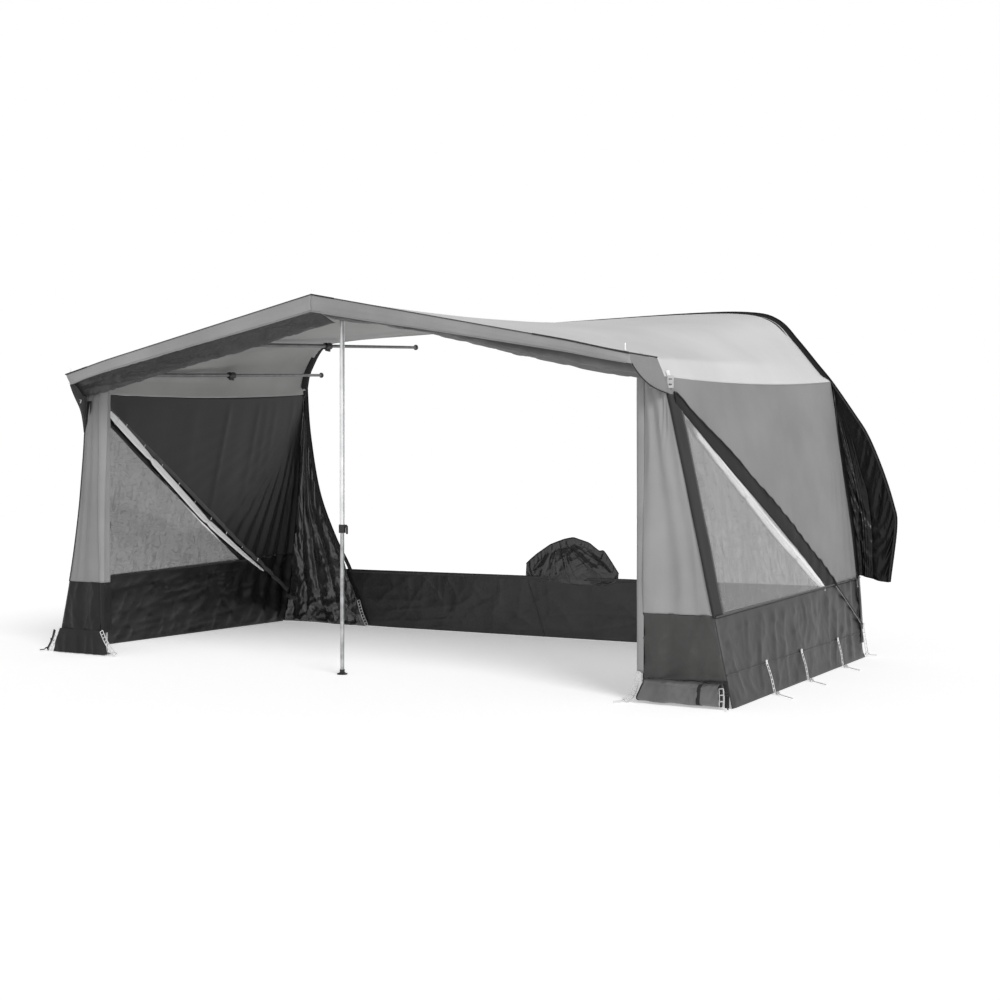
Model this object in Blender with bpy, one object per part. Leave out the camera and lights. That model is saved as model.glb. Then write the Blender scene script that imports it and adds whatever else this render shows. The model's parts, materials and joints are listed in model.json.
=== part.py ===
# Caravan awning: an open-fronted sun canopy with two side walls, hung from a rail.
# Metres, +Z up. +X runs along the rail, +Y points from the open front to the rail.
# The model is drawn with the rail at y = 0 and the ridge at x = 0, and the whole of it
# hangs on one empty that puts the middle of its footprint at the origin.
import math

import bmesh
import bpy
from mathutils import Matrix, Vector

# Driving sizes of the cover
clearance = 0.0003
sheet_thick = 0.004
base_front_half = {"left": 2.39, "right": 2.483}
base_rear_half = {"left": 2.42, "right": 2.50}
canopy_reach = 2.77
canopy_overhang = 0.25
leg_plane = canopy_reach - canopy_overhang
peak_height = 2.25
eave_half = 2.03
eave_height = {"left": 1.88, "right": 1.815}
side_drop = 0.115
side_flare = 0.07
seam_sag = 0.035
roof_sag = 0.055
wall_front_bulge = {"left": -0.06, "right": 0}
wall_rear_bulge = {"left": 0, "right": 0.045}
rail_height = 2.37
rail_reach = {"left": 2.20, "right": 2.70}
fascia_depth = 0.10
soffit_drop = 0.125

# Outline of the rail on each side, from the ridge down to its lower end:
# (share of rail_reach, share of rail_height)
rail_shares = {
    "left": [(0, 1), (0.45, 1), (0.80, 0.995), (0.915, 0.975), (0.98, 0.897), (0.998, 0.848),
             (1, 0.806), (0.985, 0.657), (0.941, 0.461), (0.866, 0.304), (0.795, 0.196), (0.70, 0.012)],
    "right": [(0, 1), (0.45, 1), (0.63, 0.99), (0.704, 0.962), (0.755, 0.899), (0.804, 0.829),
              (0.841, 0.776), (0.896, 0.684), (0.93, 0.622), (0.965, 0.527), (0.992, 0.43),
              (1, 0.367), (0.984, 0.211)],
}
crease_index = 5
seam_index = 6
seam_turn = math.radians(35)

# Rail beading: a flat strip with a round bead on its rear edge
keder_width = 0.05
keder_half = 0.003
bead_half = 0.005
rail_stations = 30

# Side walls, measured along Y behind the leg plane and up from the ground
mud_height_front = {"left": 0.487, "right": 0.455}
mud_height_rear = {"left": 0.574, "right": 0.527}
front_band_width = 0.13
zip_top_height = {"left": 1.71, "right": 1.61}
zip_rear_height = {"left": 0.245, "right": 0.20}
zip_flap_width = 0.115
canopy_end_height = {"left": 1.50, "right": 1.61}
toe_height = 0.006
wall_tuck = 0.005
wall_stations = 13

# Legs beside the open front
leg_inner_half = {"left": 1.92, "right": 1.965}
leg_mud_height = {"left": 0.487, "right": 0.466}
roll_height = 0.13
roll_depth = 0.075
roll_lead_share = 0.27
roll_slack_share = 0.12
roll_outline_shares = [(-0.34, 0), (0.34, 0), (0.47, 0.12), (0.5, 0.42), (0.46, 0.75), (0.27, 1), (-0.27, 1),
                       (-0.45, 0.78), (-0.5, 0.45), (-0.46, 0.12)]
leg_fold_depth = 0.012

# Rolled blind inside each side wall
blind_width = 0.10
blind_depth = 0.036
blind_lead_share = 0.15
blind_gap = 0.0009

# Rear flaps, draught skirt and wheel cover
rear_fold_depth = 0.012
flap_folds = {"left": 4, "right": 3}
flap_drop = {"left": 0.05, "right": 0.05}
skirt_height = 0.46
skirt_lap = 0.06
skirt_end_gap = 0.006
skirt_fold_depth = 0.006
wheel_centre = 0.316
wheel_half = 0.386
wheel_top = 0.755
wheel_tuck = 0.04
wheel_bulge = 0.05
wheel_outline_shares = [(0, 0.35), (0.12, 0.55), (0.27, 0.80), (0.42, 0.95), (0.52, 1), (0.69, 0.87),
                        (0.85, 0.57), (0.95, 0.34), (1, 0.08)]

# Telescopic poles: an outer tube over an inner one
outer_radius = 0.014
inner_radius = 0.0115
tube_wall = 0.0012
slide_fit = 0.0006
beam_radius = 0.014
bracket_radius = 0.0145
bracket_half = 0.07
collar_radius = 0.020
collar_length = 0.05
pad_radius = 0.022
pad_thick = 0.006
rail_inset = 0.115
pole_drop = 0.012
pole_split = 1.15
tube_lap = 0.30
pole_front_half = {"edge": 1.97, "mid": 1.1, "centre": 0}
mid_rail_half = 1.107
edge_rail_share = 0.96

# Uprights
upright_setback = 0.05
upright_line = leg_plane - upright_setback
upper_radius = 0.015
lower_radius = 0.0125
upper_end_height = 0.86
lower_tube_height = 1.25
clamp_radius = 0.0215
clamp_height = 0.05
clamp_lip = 0.008
ear_length = 0.010
ear_width = 0.012
ear_height = 0.018
lever_length = 0.045
lever_half = 0.0035
foot_radius = 0.032
foot_thick = 0.006
socket_height = 0.03
socket_wall = 0.003

sides = {"left": -1, "right": 1}


def lerp(a, b, t):
    return a + (b - a) * t


def edge_gap(turn):
    # How far a sheet stops short of a crease that turns by this angle, so that it clears its neighbour
    return sheet_thick / 2 * math.tan(turn / 2) + clearance


butt_gap = clearance / 2
corner_gap = sheet_thick / 2 + clearance
rail_gap = edge_gap(2 * math.atan2(rail_height - min(eave_height.values()), canopy_reach))


def make_material(name, colour, roughness, metallic=0.0, alpha=1.0):
    material = bpy.data.materials.new(name)
    material.use_nodes = True
    shader = material.node_tree.nodes["Principled BSDF"]
    shader.inputs["Base Color"].default_value = (*colour, 1)
    shader.inputs["Roughness"].default_value = roughness
    shader.inputs["Metallic"].default_value = metallic
    shader.inputs["Alpha"].default_value = alpha
    material.diffuse_color = (*colour, alpha)
    return material


def add_object(name, mesh, material, parent):
    obj = bpy.data.objects.new(name, mesh)
    bpy.context.scene.collection.objects.link(obj)
    mesh.materials.append(material)
    obj.parent = parent
    return obj


def add_closed(name, points, faces, material, parent, sharp_angle=None):
    # A closed body from points and faces, with every face turned outwards
    mesh = bpy.data.meshes.new(name)
    mesh.from_pydata([tuple(p) for p in points], [], faces)
    shell = bmesh.new()
    shell.from_mesh(mesh)
    bmesh.ops.recalc_face_normals(shell, faces=shell.faces)
    shell.to_mesh(mesh)
    shell.free()
    if sharp_angle is not None:
        mesh.shade_smooth()
        mesh.set_sharp_from_angle(angle=sharp_angle)
    return add_object(name, mesh, material, parent)


def trim_rows(rows, first, last):
    # Draws the first and last point of each row in along the row
    for row in rows:
        row[0] = row[0] + (row[1] - row[0]).normalized() * first
        row[-1] = row[-1] + (row[-2] - row[-1]).normalized() * last


def add_sheet(name, rows, material, parent, gaps):
    # A sheet through a grid of points. gaps: first row, last row, start of rows, end of rows
    columns = [list(column) for column in zip(*rows)]
    trim_rows(columns, gaps[0], gaps[1])
    rows = [list(row) for row in zip(*columns)]
    trim_rows(rows, gaps[2], gaps[3])
    width = len(rows[0])
    points = [point for row in rows for point in row]
    faces = [(i * width + j, i * width + j + 1, (i + 1) * width + j + 1, (i + 1) * width + j)
             for i in range(len(rows) - 1) for j in range(width - 1)]
    mesh = bpy.data.meshes.new(name)
    mesh.from_pydata([tuple(p) for p in points], [], faces)
    mesh.shade_smooth()
    obj = add_object(name, mesh, material, parent)
    wall = obj.modifiers.new("cloth", "SOLIDIFY")
    wall.thickness = sheet_thick
    wall.offset = 0
    wall.use_even_offset = True
    return obj


def add_sweep(name, rings, material, parent, sharp_angle=None):
    # A closed body through rings of points, capped at both ends
    count = len(rings[0])
    points = [point for ring in rings for point in ring]
    faces = []
    for i in range(len(rings) - 1):
        a = i * count
        b = (i + 1) * count
        faces += [(a + j, a + (j + 1) % count, b + (j + 1) % count, b + j) for j in range(count)]
    faces.append(tuple(range(count)))
    faces.append(tuple(range((len(rings) - 1) * count, len(rings) * count)))
    return add_closed(name, points, faces, material, parent, sharp_angle)


def add_turned(name, profile, material, parent, place, sides_round=14, sharp_angle=math.radians(40)):
    # A turned body: a closed outline of (radius, height) points spun about local Z
    count = len(profile)
    points = []
    for i in range(sides_round):
        turn = math.tau * i / sides_round
        points += [place @ Vector((r * math.cos(turn), r * math.sin(turn), z)) for r, z in profile]
    faces = []
    for i in range(sides_round):
        a = i * count
        b = (i + 1) % sides_round * count
        faces += [(a + j, a + (j + 1) % count, b + (j + 1) % count, b + j) for j in range(count)]
    inverse = place.inverted()
    obj = add_closed(name, [inverse @ p for p in points], faces, material, parent, sharp_angle)
    obj.matrix_local = place
    return obj


def add_tube(name, start, end, outer, bore, material, parent):
    direction = end - start
    place = Matrix.Translation(start) @ direction.to_track_quat("Z", "Y").to_matrix().to_4x4()
    profile = [(outer, 0), (outer, direction.length), (bore, direction.length), (bore, 0)]
    return add_turned(name, profile, material, parent, place)


def smooth_run(points, first, last, count):
    # Evenly spaced points on a smooth curve through the outline, from one control point to another
    dense = []
    steps = 24
    for k in range(first, last):
        p1 = points[k]
        p2 = points[k + 1]
        p0 = points[k - 1] if k > 0 else p1 - (p2 - p1)
        p3 = points[k + 2] if k + 2 < len(points) else p2 + (p2 - p1)
        for s in range(steps):
            t = s / steps
            dense.append(0.5 * (2 * p1 + (p2 - p0) * t + (2 * p0 - 5 * p1 + 4 * p2 - p3) * t ** 2
                                + (3 * p1 - p0 - 3 * p2 + p3) * t ** 3))
    dense.append(points[last])
    lengths = [0]
    for a, b in zip(dense, dense[1:]):
        lengths.append(lengths[-1] + (b - a).length)
    run = []
    for i in range(count):
        want = lengths[-1] * i / (count - 1)
        k = min(max(n for n, length in enumerate(lengths) if length <= want), len(dense) - 2)
        span = lengths[k + 1] - lengths[k]
        run.append(dense[k].lerp(dense[k + 1], (want - lengths[k]) / span))
    return run


def rail_outline(side):
    return [Vector((x * rail_reach[side], z * rail_height)) for x, z in rail_shares[side]]


def reach_at(w):
    # Y of a station, from the canopy's front edge (w = 0) to the beading (w = 1)
    return lerp(-canopy_reach, -keder_width, w)


def share_at(y):
    return (y + canopy_reach) / (canopy_reach - keder_width)


def gable_height(side, x):
    return peak_height - (peak_height - eave_height[side]) * x / eave_half


def seam_point(side, w):
    # The seam between the roof's side and the wall, as (outboard x, z)
    front = Vector((eave_half + side_flare, eave_height[side] - side_drop))
    rear = rail_outline(side)[seam_index]
    point = front.lerp(rear, w)
    point.y -= seam_sag * 4 * w * (1 - w)
    return point


def wall_point(side, y, z):
    # A point of the side wall, which leans in towards its top and hangs in a slight bow
    w = share_at(y)
    seam = seam_point(side, w)
    h = z / seam.y
    base = lerp(base_front_half[side], base_rear_half[side], w)
    bulge = lerp(wall_front_bulge[side], wall_rear_bulge[side], w)
    x = lerp(base, seam.x, h) + bulge * math.sin(math.pi * h)
    return Vector((sides[side] * x, y, z))


def mud_height(side, y):
    return lerp(mud_height_front[side], mud_height_rear[side], (y + leg_plane) / leg_plane)


def zip_height(side, y):
    start = -leg_plane + front_band_width
    return lerp(zip_top_height[side], zip_rear_height[side], (y - start) / (-keder_width - start))


def zip_reach(side, height):
    # Y where the zip's line, lowered by the flap's width or not, meets the mud seam at this height above it
    low = -leg_plane + front_band_width
    high = -keder_width
    for _ in range(40):
        middle = (low + high) / 2
        if zip_height(side, middle) - mud_height(side, middle) > height:
            low = middle
        else:
            high = middle
    return low


def sag_at(u, w):
    # How far the roof hangs below straight lines from front to rail, most towards the rail
    return roof_sag * (1 - u ** 2) * w * math.sin(math.pi * w)


def roof_rows(side, stations, columns):
    outline = rail_outline(side)
    rear = smooth_run(outline, 0, crease_index, columns)
    rows = []
    for i in range(stations):
        w = i / (stations - 1)
        row = []
        for j in range(columns):
            u = j / (columns - 1)
            front = Vector((u * eave_half, gable_height(side, u * eave_half)))
            point = front.lerp(rear[j], w)
            row.append(Vector((sides[side] * point.x, reach_at(w), point.y - sag_at(u, w))))
        rows.append(row)
    return rows


def roof_height(side, x, y):
    # Height of the roof sheet's middle over an outboard place
    w = share_at(y)
    rear = smooth_run(rail_outline(side), 0, crease_index, 60)
    line = []
    for j, back in enumerate(rear):
        u = j / (len(rear) - 1)
        point = Vector((u * eave_half, gable_height(side, u * eave_half))).lerp(back, w)
        line.append(Vector((point.x, point.y - sag_at(u, w))))
    for a, b in zip(line, line[1:]):
        if b.x >= x:
            return lerp(a.y, b.y, (x - a.x) / (b.x - a.x))
    return line[-1].y


def build_roof(side, cloth, parent):
    slope = {key: math.atan2(peak_height - eave_height[key], eave_half) for key in sides}
    ridge_turn = slope["left"] + slope["right"]
    crease_turn = math.atan2(side_drop, side_flare) - slope[side]
    rows = roof_rows(side, 10, 17)
    add_sheet("roof_" + side, rows, cloth["roof"], parent,
              (corner_gap, rail_gap, edge_gap(ridge_turn) - butt_gap, edge_gap(crease_turn)))

    # The roof's drop down to the wall seam, from the legs to the rail
    outline = rail_outline(side)
    rear = smooth_run(outline, crease_index, seam_index, 4)
    front_w = share_at(-leg_plane)
    rows = []
    for i in range(7):
        w = lerp(front_w, 1, i / 6)
        row = []
        for j in range(4):
            v = j / 3
            front = Vector((eave_half + side_flare * v, eave_height[side] - side_drop * v))
            point = front.lerp(rear[j], w)
            point.y -= seam_sag * 4 * w * (1 - w) * v
            row.append(Vector((sides[side] * point.x, reach_at(w), point.y)))
        rows.append(row)
    add_sheet("roof_side_" + side, rows, cloth["roof"], parent,
              (clearance, rail_gap, edge_gap(crease_turn), edge_gap(seam_turn)))
    return ridge_turn


def end_gap(side):
    # Room beside the canopy's end, which leans in towards its front edge
    low = abs(wall_point(side, -leg_plane, canopy_end_height[side]).x)
    lean = math.atan2(low - eave_half, canopy_reach - leg_plane)
    return sheet_thick / 2 * (1 / math.cos(lean) + math.tan(lean)) + clearance


def soffit_corner(side):
    return wall_point(side, -leg_plane, gable_height(side, eave_half) - soffit_drop)


def soffit_height(side, x):
    # Height of the soffit's inner edge at an outboard place
    share = x / abs(soffit_corner(side).x)
    return gable_height(side, share * eave_half) - soffit_drop


def build_canopy(side, ridge_turn, cloth, parent):
    # Fascia across the front, soffit below the overhang and the end that closes it
    sign = sides[side]
    ridge_gap = edge_gap(ridge_turn) - butt_gap
    columns = 9
    top = []
    bottom = []
    inner = []
    corner = soffit_corner(side)
    for j in range(columns):
        u = j / (columns - 1)
        x = u * eave_half
        z = gable_height(side, x)
        top.append(Vector((sign * x, -canopy_reach, z)))
        bottom.append(Vector((sign * x, -canopy_reach, z - fascia_depth)))
        inner.append(Vector((lerp(0, corner.x, u), -leg_plane, z - soffit_drop)))
    middle = [a.lerp(b, 0.5) for a, b in zip(bottom, inner)]
    add_sheet("fascia_" + side, [top, bottom], cloth["valance"], parent,
              (corner_gap, corner_gap, butt_gap, corner_gap))
    add_sheet("soffit_" + side, [bottom, middle, inner], cloth["valance"], parent,
              (corner_gap, corner_gap, ridge_gap, end_gap(side)))

    crease = roof_rows(side, 2, 2)
    front_top = crease[0][1]
    rear_top = crease[0][1].lerp(crease[1][1], share_at(-leg_plane))
    front_low = Vector((front_top.x, front_top.y, front_top.z - fascia_depth))
    rear_low = wall_point(side, -leg_plane, canopy_end_height[side])
    seam = wall_point(side, -leg_plane, seam_point(side, share_at(-leg_plane)).y)
    rows = []
    for t in (0, 0.5, 1):
        low = front_low.lerp(rear_low, t)
        high = front_top.lerp(rear_top, t)
        knee = high.lerp(low, (rear_top.z - seam.z) / (rear_top.z - rear_low.z))
        knee.x = lerp(high.x, seam.x, t)
        rows.append([high, knee, low])
    add_sheet("canopy_end_" + side, rows, cloth["valance"], parent,
              (corner_gap, corner_gap, corner_gap, 0))


def build_legs(side, cloth, parent):
    # The strip of cloth beside the open front, its mud panel and the rolled ground flap
    sign = sides[side]
    columns = 10
    slope = math.atan2(peak_height - eave_height[side], eave_half)
    under = sheet_thick / 2 / math.cos(slope) + clearance
    inner_half = leg_inner_half[side]
    mud_top = leg_mud_height[side]
    top_inner = soffit_height(side, inner_half) - under
    top_outer = soffit_height(side, abs(soffit_corner(side).x)) - under

    def panel(name, low, high_inner, high_outer, rows_high, folds, material, gaps):
        rows = []
        for i in range(rows_high):
            v = i / (rows_high - 1)
            row = []
            for j in range(columns):
                s = j / (columns - 1)
                z = lerp(low, lerp(high_inner, high_outer, s), v)
                outer = abs(wall_point(side, -leg_plane, z).x)
                fold = leg_fold_depth * math.sin(math.pi * folds * s) ** 2 * (1 - s)
                row.append(Vector((sign * lerp(inner_half, outer, s), -leg_plane - fold, z)))
            rows.append(row)
        add_sheet(name, rows, material, parent, gaps)

    roll_top = roll_height + clearance
    panel("leg_panel_" + side, mud_top, top_inner, top_outer, 11, 3, cloth["wall"],
          (butt_gap, 0, 0, end_gap(side)))
    panel("leg_mud_panel_" + side, roll_top, mud_top, mud_top, 3, 3, cloth["mud"],
          (0, butt_gap, 0, corner_gap))

    # The ground flap lies rolled up at the foot of the leg
    outer = abs(wall_point(side, -leg_plane, roll_height).x) - end_gap(side)
    rings = []
    stations = 7
    for i in range(stations):
        t = i / (stations - 1)
        slack = 1 - roll_slack_share * (0.5 + 0.5 * math.cos(math.tau * 2 * t))
        x = sign * lerp(inner_half, outer, t)
        rings.append([Vector((x, -leg_plane - roll_depth * (roll_lead_share - d * slack), roll_height * h))
                      for d, h in roll_outline_shares])
    add_sweep("ground_flap_roll_" + side, rings, cloth["mud"], parent, math.radians(50))


def build_wall(side, cloth, parent):
    # The parts of a side wall: everything lies on one leaning surface, edge to edge
    front = -leg_plane
    band = -leg_plane + front_band_width
    rear = -keder_width
    toe = zip_reach(side, toe_height)
    window_toe = zip_reach(side, zip_flap_width + toe_height)

    def patch(name, stations, low, high, rows_high, material, gaps):
        rows = []
        for i in range(rows_high):
            v = i / (rows_high - 1)
            rows.append([wall_point(side, y, lerp(low(y), high(y), v)) for y in stations])
        add_sheet(name, rows, material, parent, gaps)

    def spread(a, b, count):
        return [lerp(a, b, i / (count - 1)) for i in range(count)]

    def seam_height(y):
        return seam_point(side, share_at(y)).y

    def mud_line(y):
        return mud_height(side, y)

    def zip_line(y):
        return zip_height(side, y)

    def upper_low(y):
        if y <= band:
            return zip_top_height[side]
        return max(zip_line(y), mud_line(y))

    def flap_low(y):
        return max(zip_line(y) - zip_flap_width, mud_line(y))

    upper_stations = [front] + spread(band, toe, wall_stations) + spread(zip_reach(side, 0), rear, 4)
    patch("side_wall_" + side, upper_stations, upper_low, seam_height, 5, cloth["wall"],
          (butt_gap, edge_gap(seam_turn), corner_gap, rail_gap))
    patch("wall_front_band_" + side, [front, band], mud_line, lambda y: zip_top_height[side], 5,
          cloth["band"], (butt_gap, butt_gap, corner_gap, butt_gap))
    flap_stations = spread(band, window_toe, wall_stations) + [zip_reach(side, zip_flap_width), toe]
    patch("zip_flap_" + side, flap_stations, flap_low, zip_line, 2, cloth["band"],
          (butt_gap, butt_gap, butt_gap, butt_gap))
    patch("side_window_" + side, spread(band, window_toe, wall_stations), mud_line,
          lambda y: zip_line(y) - zip_flap_width, 3, cloth["window"],
          (butt_gap, butt_gap, butt_gap, butt_gap))
    patch("wall_mud_panel_" + side, spread(front, rear, 7), lambda y: 0, mud_line, 3, cloth["mud"],
          (0, butt_gap, corner_gap, rail_gap))

    # The window's blind, rolled up along the inner side of the zip flap
    hems = [(wall_point(side, y, flap_low(y)), wall_point(side, y, zip_line(y)))
            for y in flap_stations[:-2]]
    middles = [(low + high) / 2 for low, high in hems]
    middles[0] = middles[0].lerp(middles[1], blind_lead_share)
    middles[-1] = middles[-1].lerp(middles[-2], blind_lead_share)
    rings = []
    facets = 10
    for k, centre in enumerate(middles):
        along = (middles[min(k + 1, len(middles) - 1)] - middles[max(k - 1, 0)]).normalized()
        up = hems[k][1] - hems[k][0]
        across = (up - along * up.dot(along)).normalized()
        inward = along.cross(across)
        if inward.x * sides[side] > 0:
            inward.negate()
        middle = centre + inward * (sheet_thick / 2 + blind_gap + blind_depth / 2)
        rings.append([middle + across * (blind_width / 2 * math.cos(math.tau * (n + 0.5) / facets))
                      + inward * (blind_depth / 2 * math.sin(math.tau * (n + 0.5) / facets))
                      for n in range(facets)])
    add_sweep("blind_roll_" + side, rings, cloth["blind"], parent, math.radians(60))


def rail_points(side):
    # Points along one side of the rail, each with the direction that points into the awning
    run = smooth_run(rail_outline(side), 0, len(rail_shares[side]) - 1, rail_stations)
    pairs = []
    for k, point in enumerate(run):
        after = run[min(k + 1, len(run) - 1)]
        before = run[max(k - 1, 0)] if k > 0 else Vector((-after.x, after.y))
        along = (after - before).normalized()
        pairs.append((point, Vector((-along.y, along.x)) * -1))
    return pairs


def build_rear_flap(side, cloth, parent):
    # The cloth between the wall's rear edge and the rail's outline, hanging in folds
    top = seam_point(side, 1).y - flap_drop[side]
    spans = [point.x - abs(wall_point(side, -keder_width, point.y).x) for point, inward in rail_points(side)]
    pairs = [(pair, span) for pair, span in zip(rail_points(side), spans) if pair[0].y < top]
    outwards = pairs[len(pairs) // 2][1] > 0
    # Rows only where the rail runs clear of the wall, on the flap's own side of it
    room = wall_tuck + keder_half + corner_gap
    pairs = [pair for pair, span in pairs if (span if outwards else -span) > room]
    plane = -keder_width + clearance + sheet_thick / 2
    columns = 15
    rows = []
    for i, (point, inward) in enumerate(pairs):
        edge = point + inward * ((keder_half + clearance) * (1 if outwards else -1))
        edge.y = max(edge.y, 0)
        wall = abs(wall_point(side, -keder_width, edge.y).x)
        start = wall - wall_tuck if outwards else wall + wall_tuck
        row = []
        for j in range(columns):
            t = j / (columns - 1)
            inner = min(max((j - 1) / (columns - 3), 0), 1)
            fold = rear_fold_depth * math.sin(math.pi * flap_folds[side] * inner) ** 2 * min(1, i / 3)
            row.append(Vector((sides[side] * lerp(start, edge.x, t), plane + fold, edge.y)))
        rows.append(row)
    add_sheet("rear_flap_" + side, rows, cloth["coated"], parent, (0, 0, 0, 0))


def build_keder(cloth, parent):
    left = [(Vector((-p.x, p.y)), Vector((-n.x, n.y))) for p, n in rail_points("left")]
    path = left[:0:-1] + rail_points("right")
    half = [(bead_half, 2 * bead_half), (bead_half, bead_half), (keder_half, 0), (keder_half, -keder_width)]
    profile = [(-n, y) for n, y in reversed(half)] + half
    rings = [[Vector((point.x + inward.x * n, y, point.y + inward.y * n)) for n, y in profile]
             for point, inward in path]
    add_sweep("rail_beading", rings, cloth["keder"], parent, math.radians(50))


def build_skirt(cloth, parent):
    # The draught skirt hangs just in front of the rear flap and ends against the right wall
    plane = -keder_width - clearance - sheet_thick / 2
    outline = smooth_run(rail_outline("left"), seam_index, len(rail_shares["left"]) - 1, 40)
    rows = []
    columns = 22
    for i in range(4):
        z = lerp(0, skirt_height, i / 3)
        k = max(n for n in range(len(outline) - 1) if outline[n].y >= max(z, outline[-1].y))
        span = outline[k + 1] - outline[k]
        edge = outline[k].x + span.x * (z - outline[k].y) / span.y
        start = -edge - skirt_lap
        end = abs(wall_point("right", plane, z).x) - skirt_end_gap
        row = []
        for j in range(columns):
            s = j / (columns - 1)
            fold = skirt_fold_depth * math.sin(math.pi * (columns - 1) / 2 * s) ** 2 * (1 - i / 3)
            row.append(Vector((lerp(start, end, s), plane - fold * (0 < j < columns - 1), z)))
        rows.append(row)
    add_sheet("draught_skirt", rows, cloth["coated"], parent, (0, 0, 0, 0))

    # The wheel cover stands up from behind the skirt's top edge and swells towards the front
    back = plane + sheet_thick + 2 * clearance
    levels = 4
    rows = [[], []] + [[] for _ in range(levels)]
    for s, high in wheel_outline_shares:
        x = wheel_centre + wheel_half * (2 * s - 1)
        rows[0].append(Vector((x, back, skirt_height - wheel_tuck)))
        rows[1].append(Vector((x, back, skirt_height)))
        for k in range(levels):
            t = (k + 1) / levels
            swell = wheel_bulge * math.sin(math.pi * t) * math.sin(math.pi * s) * high
            rows[k + 2].append(Vector((x, back - swell, lerp(skirt_height, wheel_top, high * t))))
    add_sheet("wheel_cover", rows, cloth["coated"], parent, (0, 0, 0, 0))


beam_line = -canopy_reach + sheet_thick / 2 + clearance + bracket_radius


def pole_ends(side, kind):
    # Middle of a roof pole's front end, behind the front beam, and of its pad at the rail
    sign = sides[side]
    front_x = pole_front_half[kind]
    carrier = bracket_radius if kind == "centre" else beam_radius
    front_y = beam_line + carrier + clearance
    slope = math.atan2(peak_height - eave_height[side], eave_half)
    room = (sheet_thick / 2 + outer_radius) / math.cos(slope) + pole_drop
    front_z = roof_height(side, front_x, front_y) - room
    outline = rail_outline(side)
    if kind == "edge":
        run = smooth_run(outline, 0, crease_index, 60)
        k = int(edge_rail_share * (len(run) - 1))
        along = (run[k + 1] - run[k]).normalized()
        rear = run[k] + Vector((along.y, -along.x)) * rail_inset
    else:
        rear_x = mid_rail_half if kind == "mid" else 0
        rear = Vector((rear_x, roof_height(side, rear_x, -keder_width) - rail_inset))
    front = Vector((sign * front_x, front_y, front_z))
    front.y += outer_radius * (rear.y - front.z) / -front.y
    return front, Vector((sign * rear.x, 0, rear.y))


def build_pole(name, front, rear, metal, parent):
    # A roof pole: a front tube with its lock collar, and a rear tube with the pad that presses back
    along = (rear - front).normalized()
    place = Matrix.Translation(front) @ along.to_track_quat("Z", "Y").to_matrix().to_4x4()
    length = (rear - front).length
    split = length * (1 - pole_split / canopy_reach)
    bore = inner_radius + slide_fit
    collar = split - collar_length
    profile = [(outer_radius, 0), (outer_radius, collar), (collar_radius, collar), (collar_radius, split),
               (bore, split), (bore, 0)]
    add_turned(name + "_front_tube", profile, metal["tube"], parent, place)
    inner = inner_radius - tube_wall
    begin = split - tube_lap
    shift = Matrix.Translation((0, 0, begin))
    reach = length - begin
    pad = reach - pad_thick
    profile = [(inner_radius, 0), (inner_radius, pad), (pad_radius, pad), (pad_radius, reach), (0, reach),
               (0, pad), (inner, pad), (inner, 0)]
    add_plugged(name + "_rear_tube", profile, metal["tube"], parent, place @ shift)
    return along


def add_plugged(name, profile, material, parent, place, sides_round=14):
    # A turned body whose outline touches the axis at two points, which close with fans
    axis = [i for i, (r, z) in enumerate(profile) if r == 0]
    count = len(profile)
    points = []
    index = {}
    for i in range(sides_round):
        turn = math.tau * i / sides_round
        for j, (r, z) in enumerate(profile):
            if j in axis and i > 0:
                index[i, j] = index[0, j]
                continue
            index[i, j] = len(points)
            points.append(Vector((r * math.cos(turn), r * math.sin(turn), z)))
    faces = []
    for i in range(sides_round):
        n = (i + 1) % sides_round
        for j in range(count):
            m = (j + 1) % count
            if j in axis and m in axis:
                continue
            corners = [index[i, j], index[i, m], index[n, m], index[n, j]]
            faces.append(tuple(dict.fromkeys(corners)))
    obj = add_closed(name, points, faces, material, parent, math.radians(40))
    obj.matrix_local = place
    return obj


def build_upright(name, x, top, ear_turn, own_foot, metal, parent):
    # A telescopic upright with its lever clamp and foot, standing at one place of the upright line
    base = Matrix.Translation((x, -upright_line, 0)) @ Matrix.Rotation(ear_turn, 4, "Z")
    upper_bore = lower_radius + slide_fit
    upper = [(upper_radius, upper_end_height), (upper_radius, top), (upper_bore, top),
             (upper_bore, upper_end_height)]
    add_turned(name + "_upper_tube", upper, metal["tube"], parent, base)
    clamp_bore = upper_radius + clearance
    lip_bore = lower_radius + slide_fit
    low = upper_end_height - clearance - clamp_lip
    high = low + clamp_height
    lip = low + clamp_lip
    sleeve = [(clamp_radius, low), (clamp_radius, high), (clamp_bore, high), (clamp_bore, lip),
              (lip_bore, lip), (lip_bore, low)]
    clamp = add_turned(name + "_clamp", sleeve, metal["plastic"], parent, base)
    add_ear(clamp, base, high, metal)
    hinge = Vector((clamp_radius + ear_length + clearance + lever_half, 0, high - ear_height / 2))
    lever = add_lever(name + "_clamp_lever", metal["plastic"], parent)
    lever.matrix_local = base @ Matrix.Translation(hinge)
    inner = lower_radius - tube_wall
    tube_top = [(lower_radius, lower_tube_height), (inner, lower_tube_height)]
    if own_foot:
        low_end = foot_thick + clearance
        add_turned(name + "_lower_tube", [(lower_radius, low_end)] + tube_top + [(inner, low_end)],
                   metal["tube"], parent, base)
        socket = lower_radius + clearance
        wall = socket + socket_wall
        foot = [(foot_radius, 0), (foot_radius, foot_thick), (wall, 2 * foot_thick), (wall, socket_height),
                (socket, socket_height), (socket, foot_thick), (0, foot_thick), (0, 0)]
        add_plugged(name + "_foot", foot, metal["plastic"], parent, base)
    else:
        leg = [(foot_radius, 0), (foot_radius, foot_thick), (lower_radius, 2 * foot_thick)] + tube_top
        leg += [(inner, foot_thick), (0, foot_thick), (0, 0)]
        add_plugged(name + "_lower_tube", leg, metal["tube"], parent, base)


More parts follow.
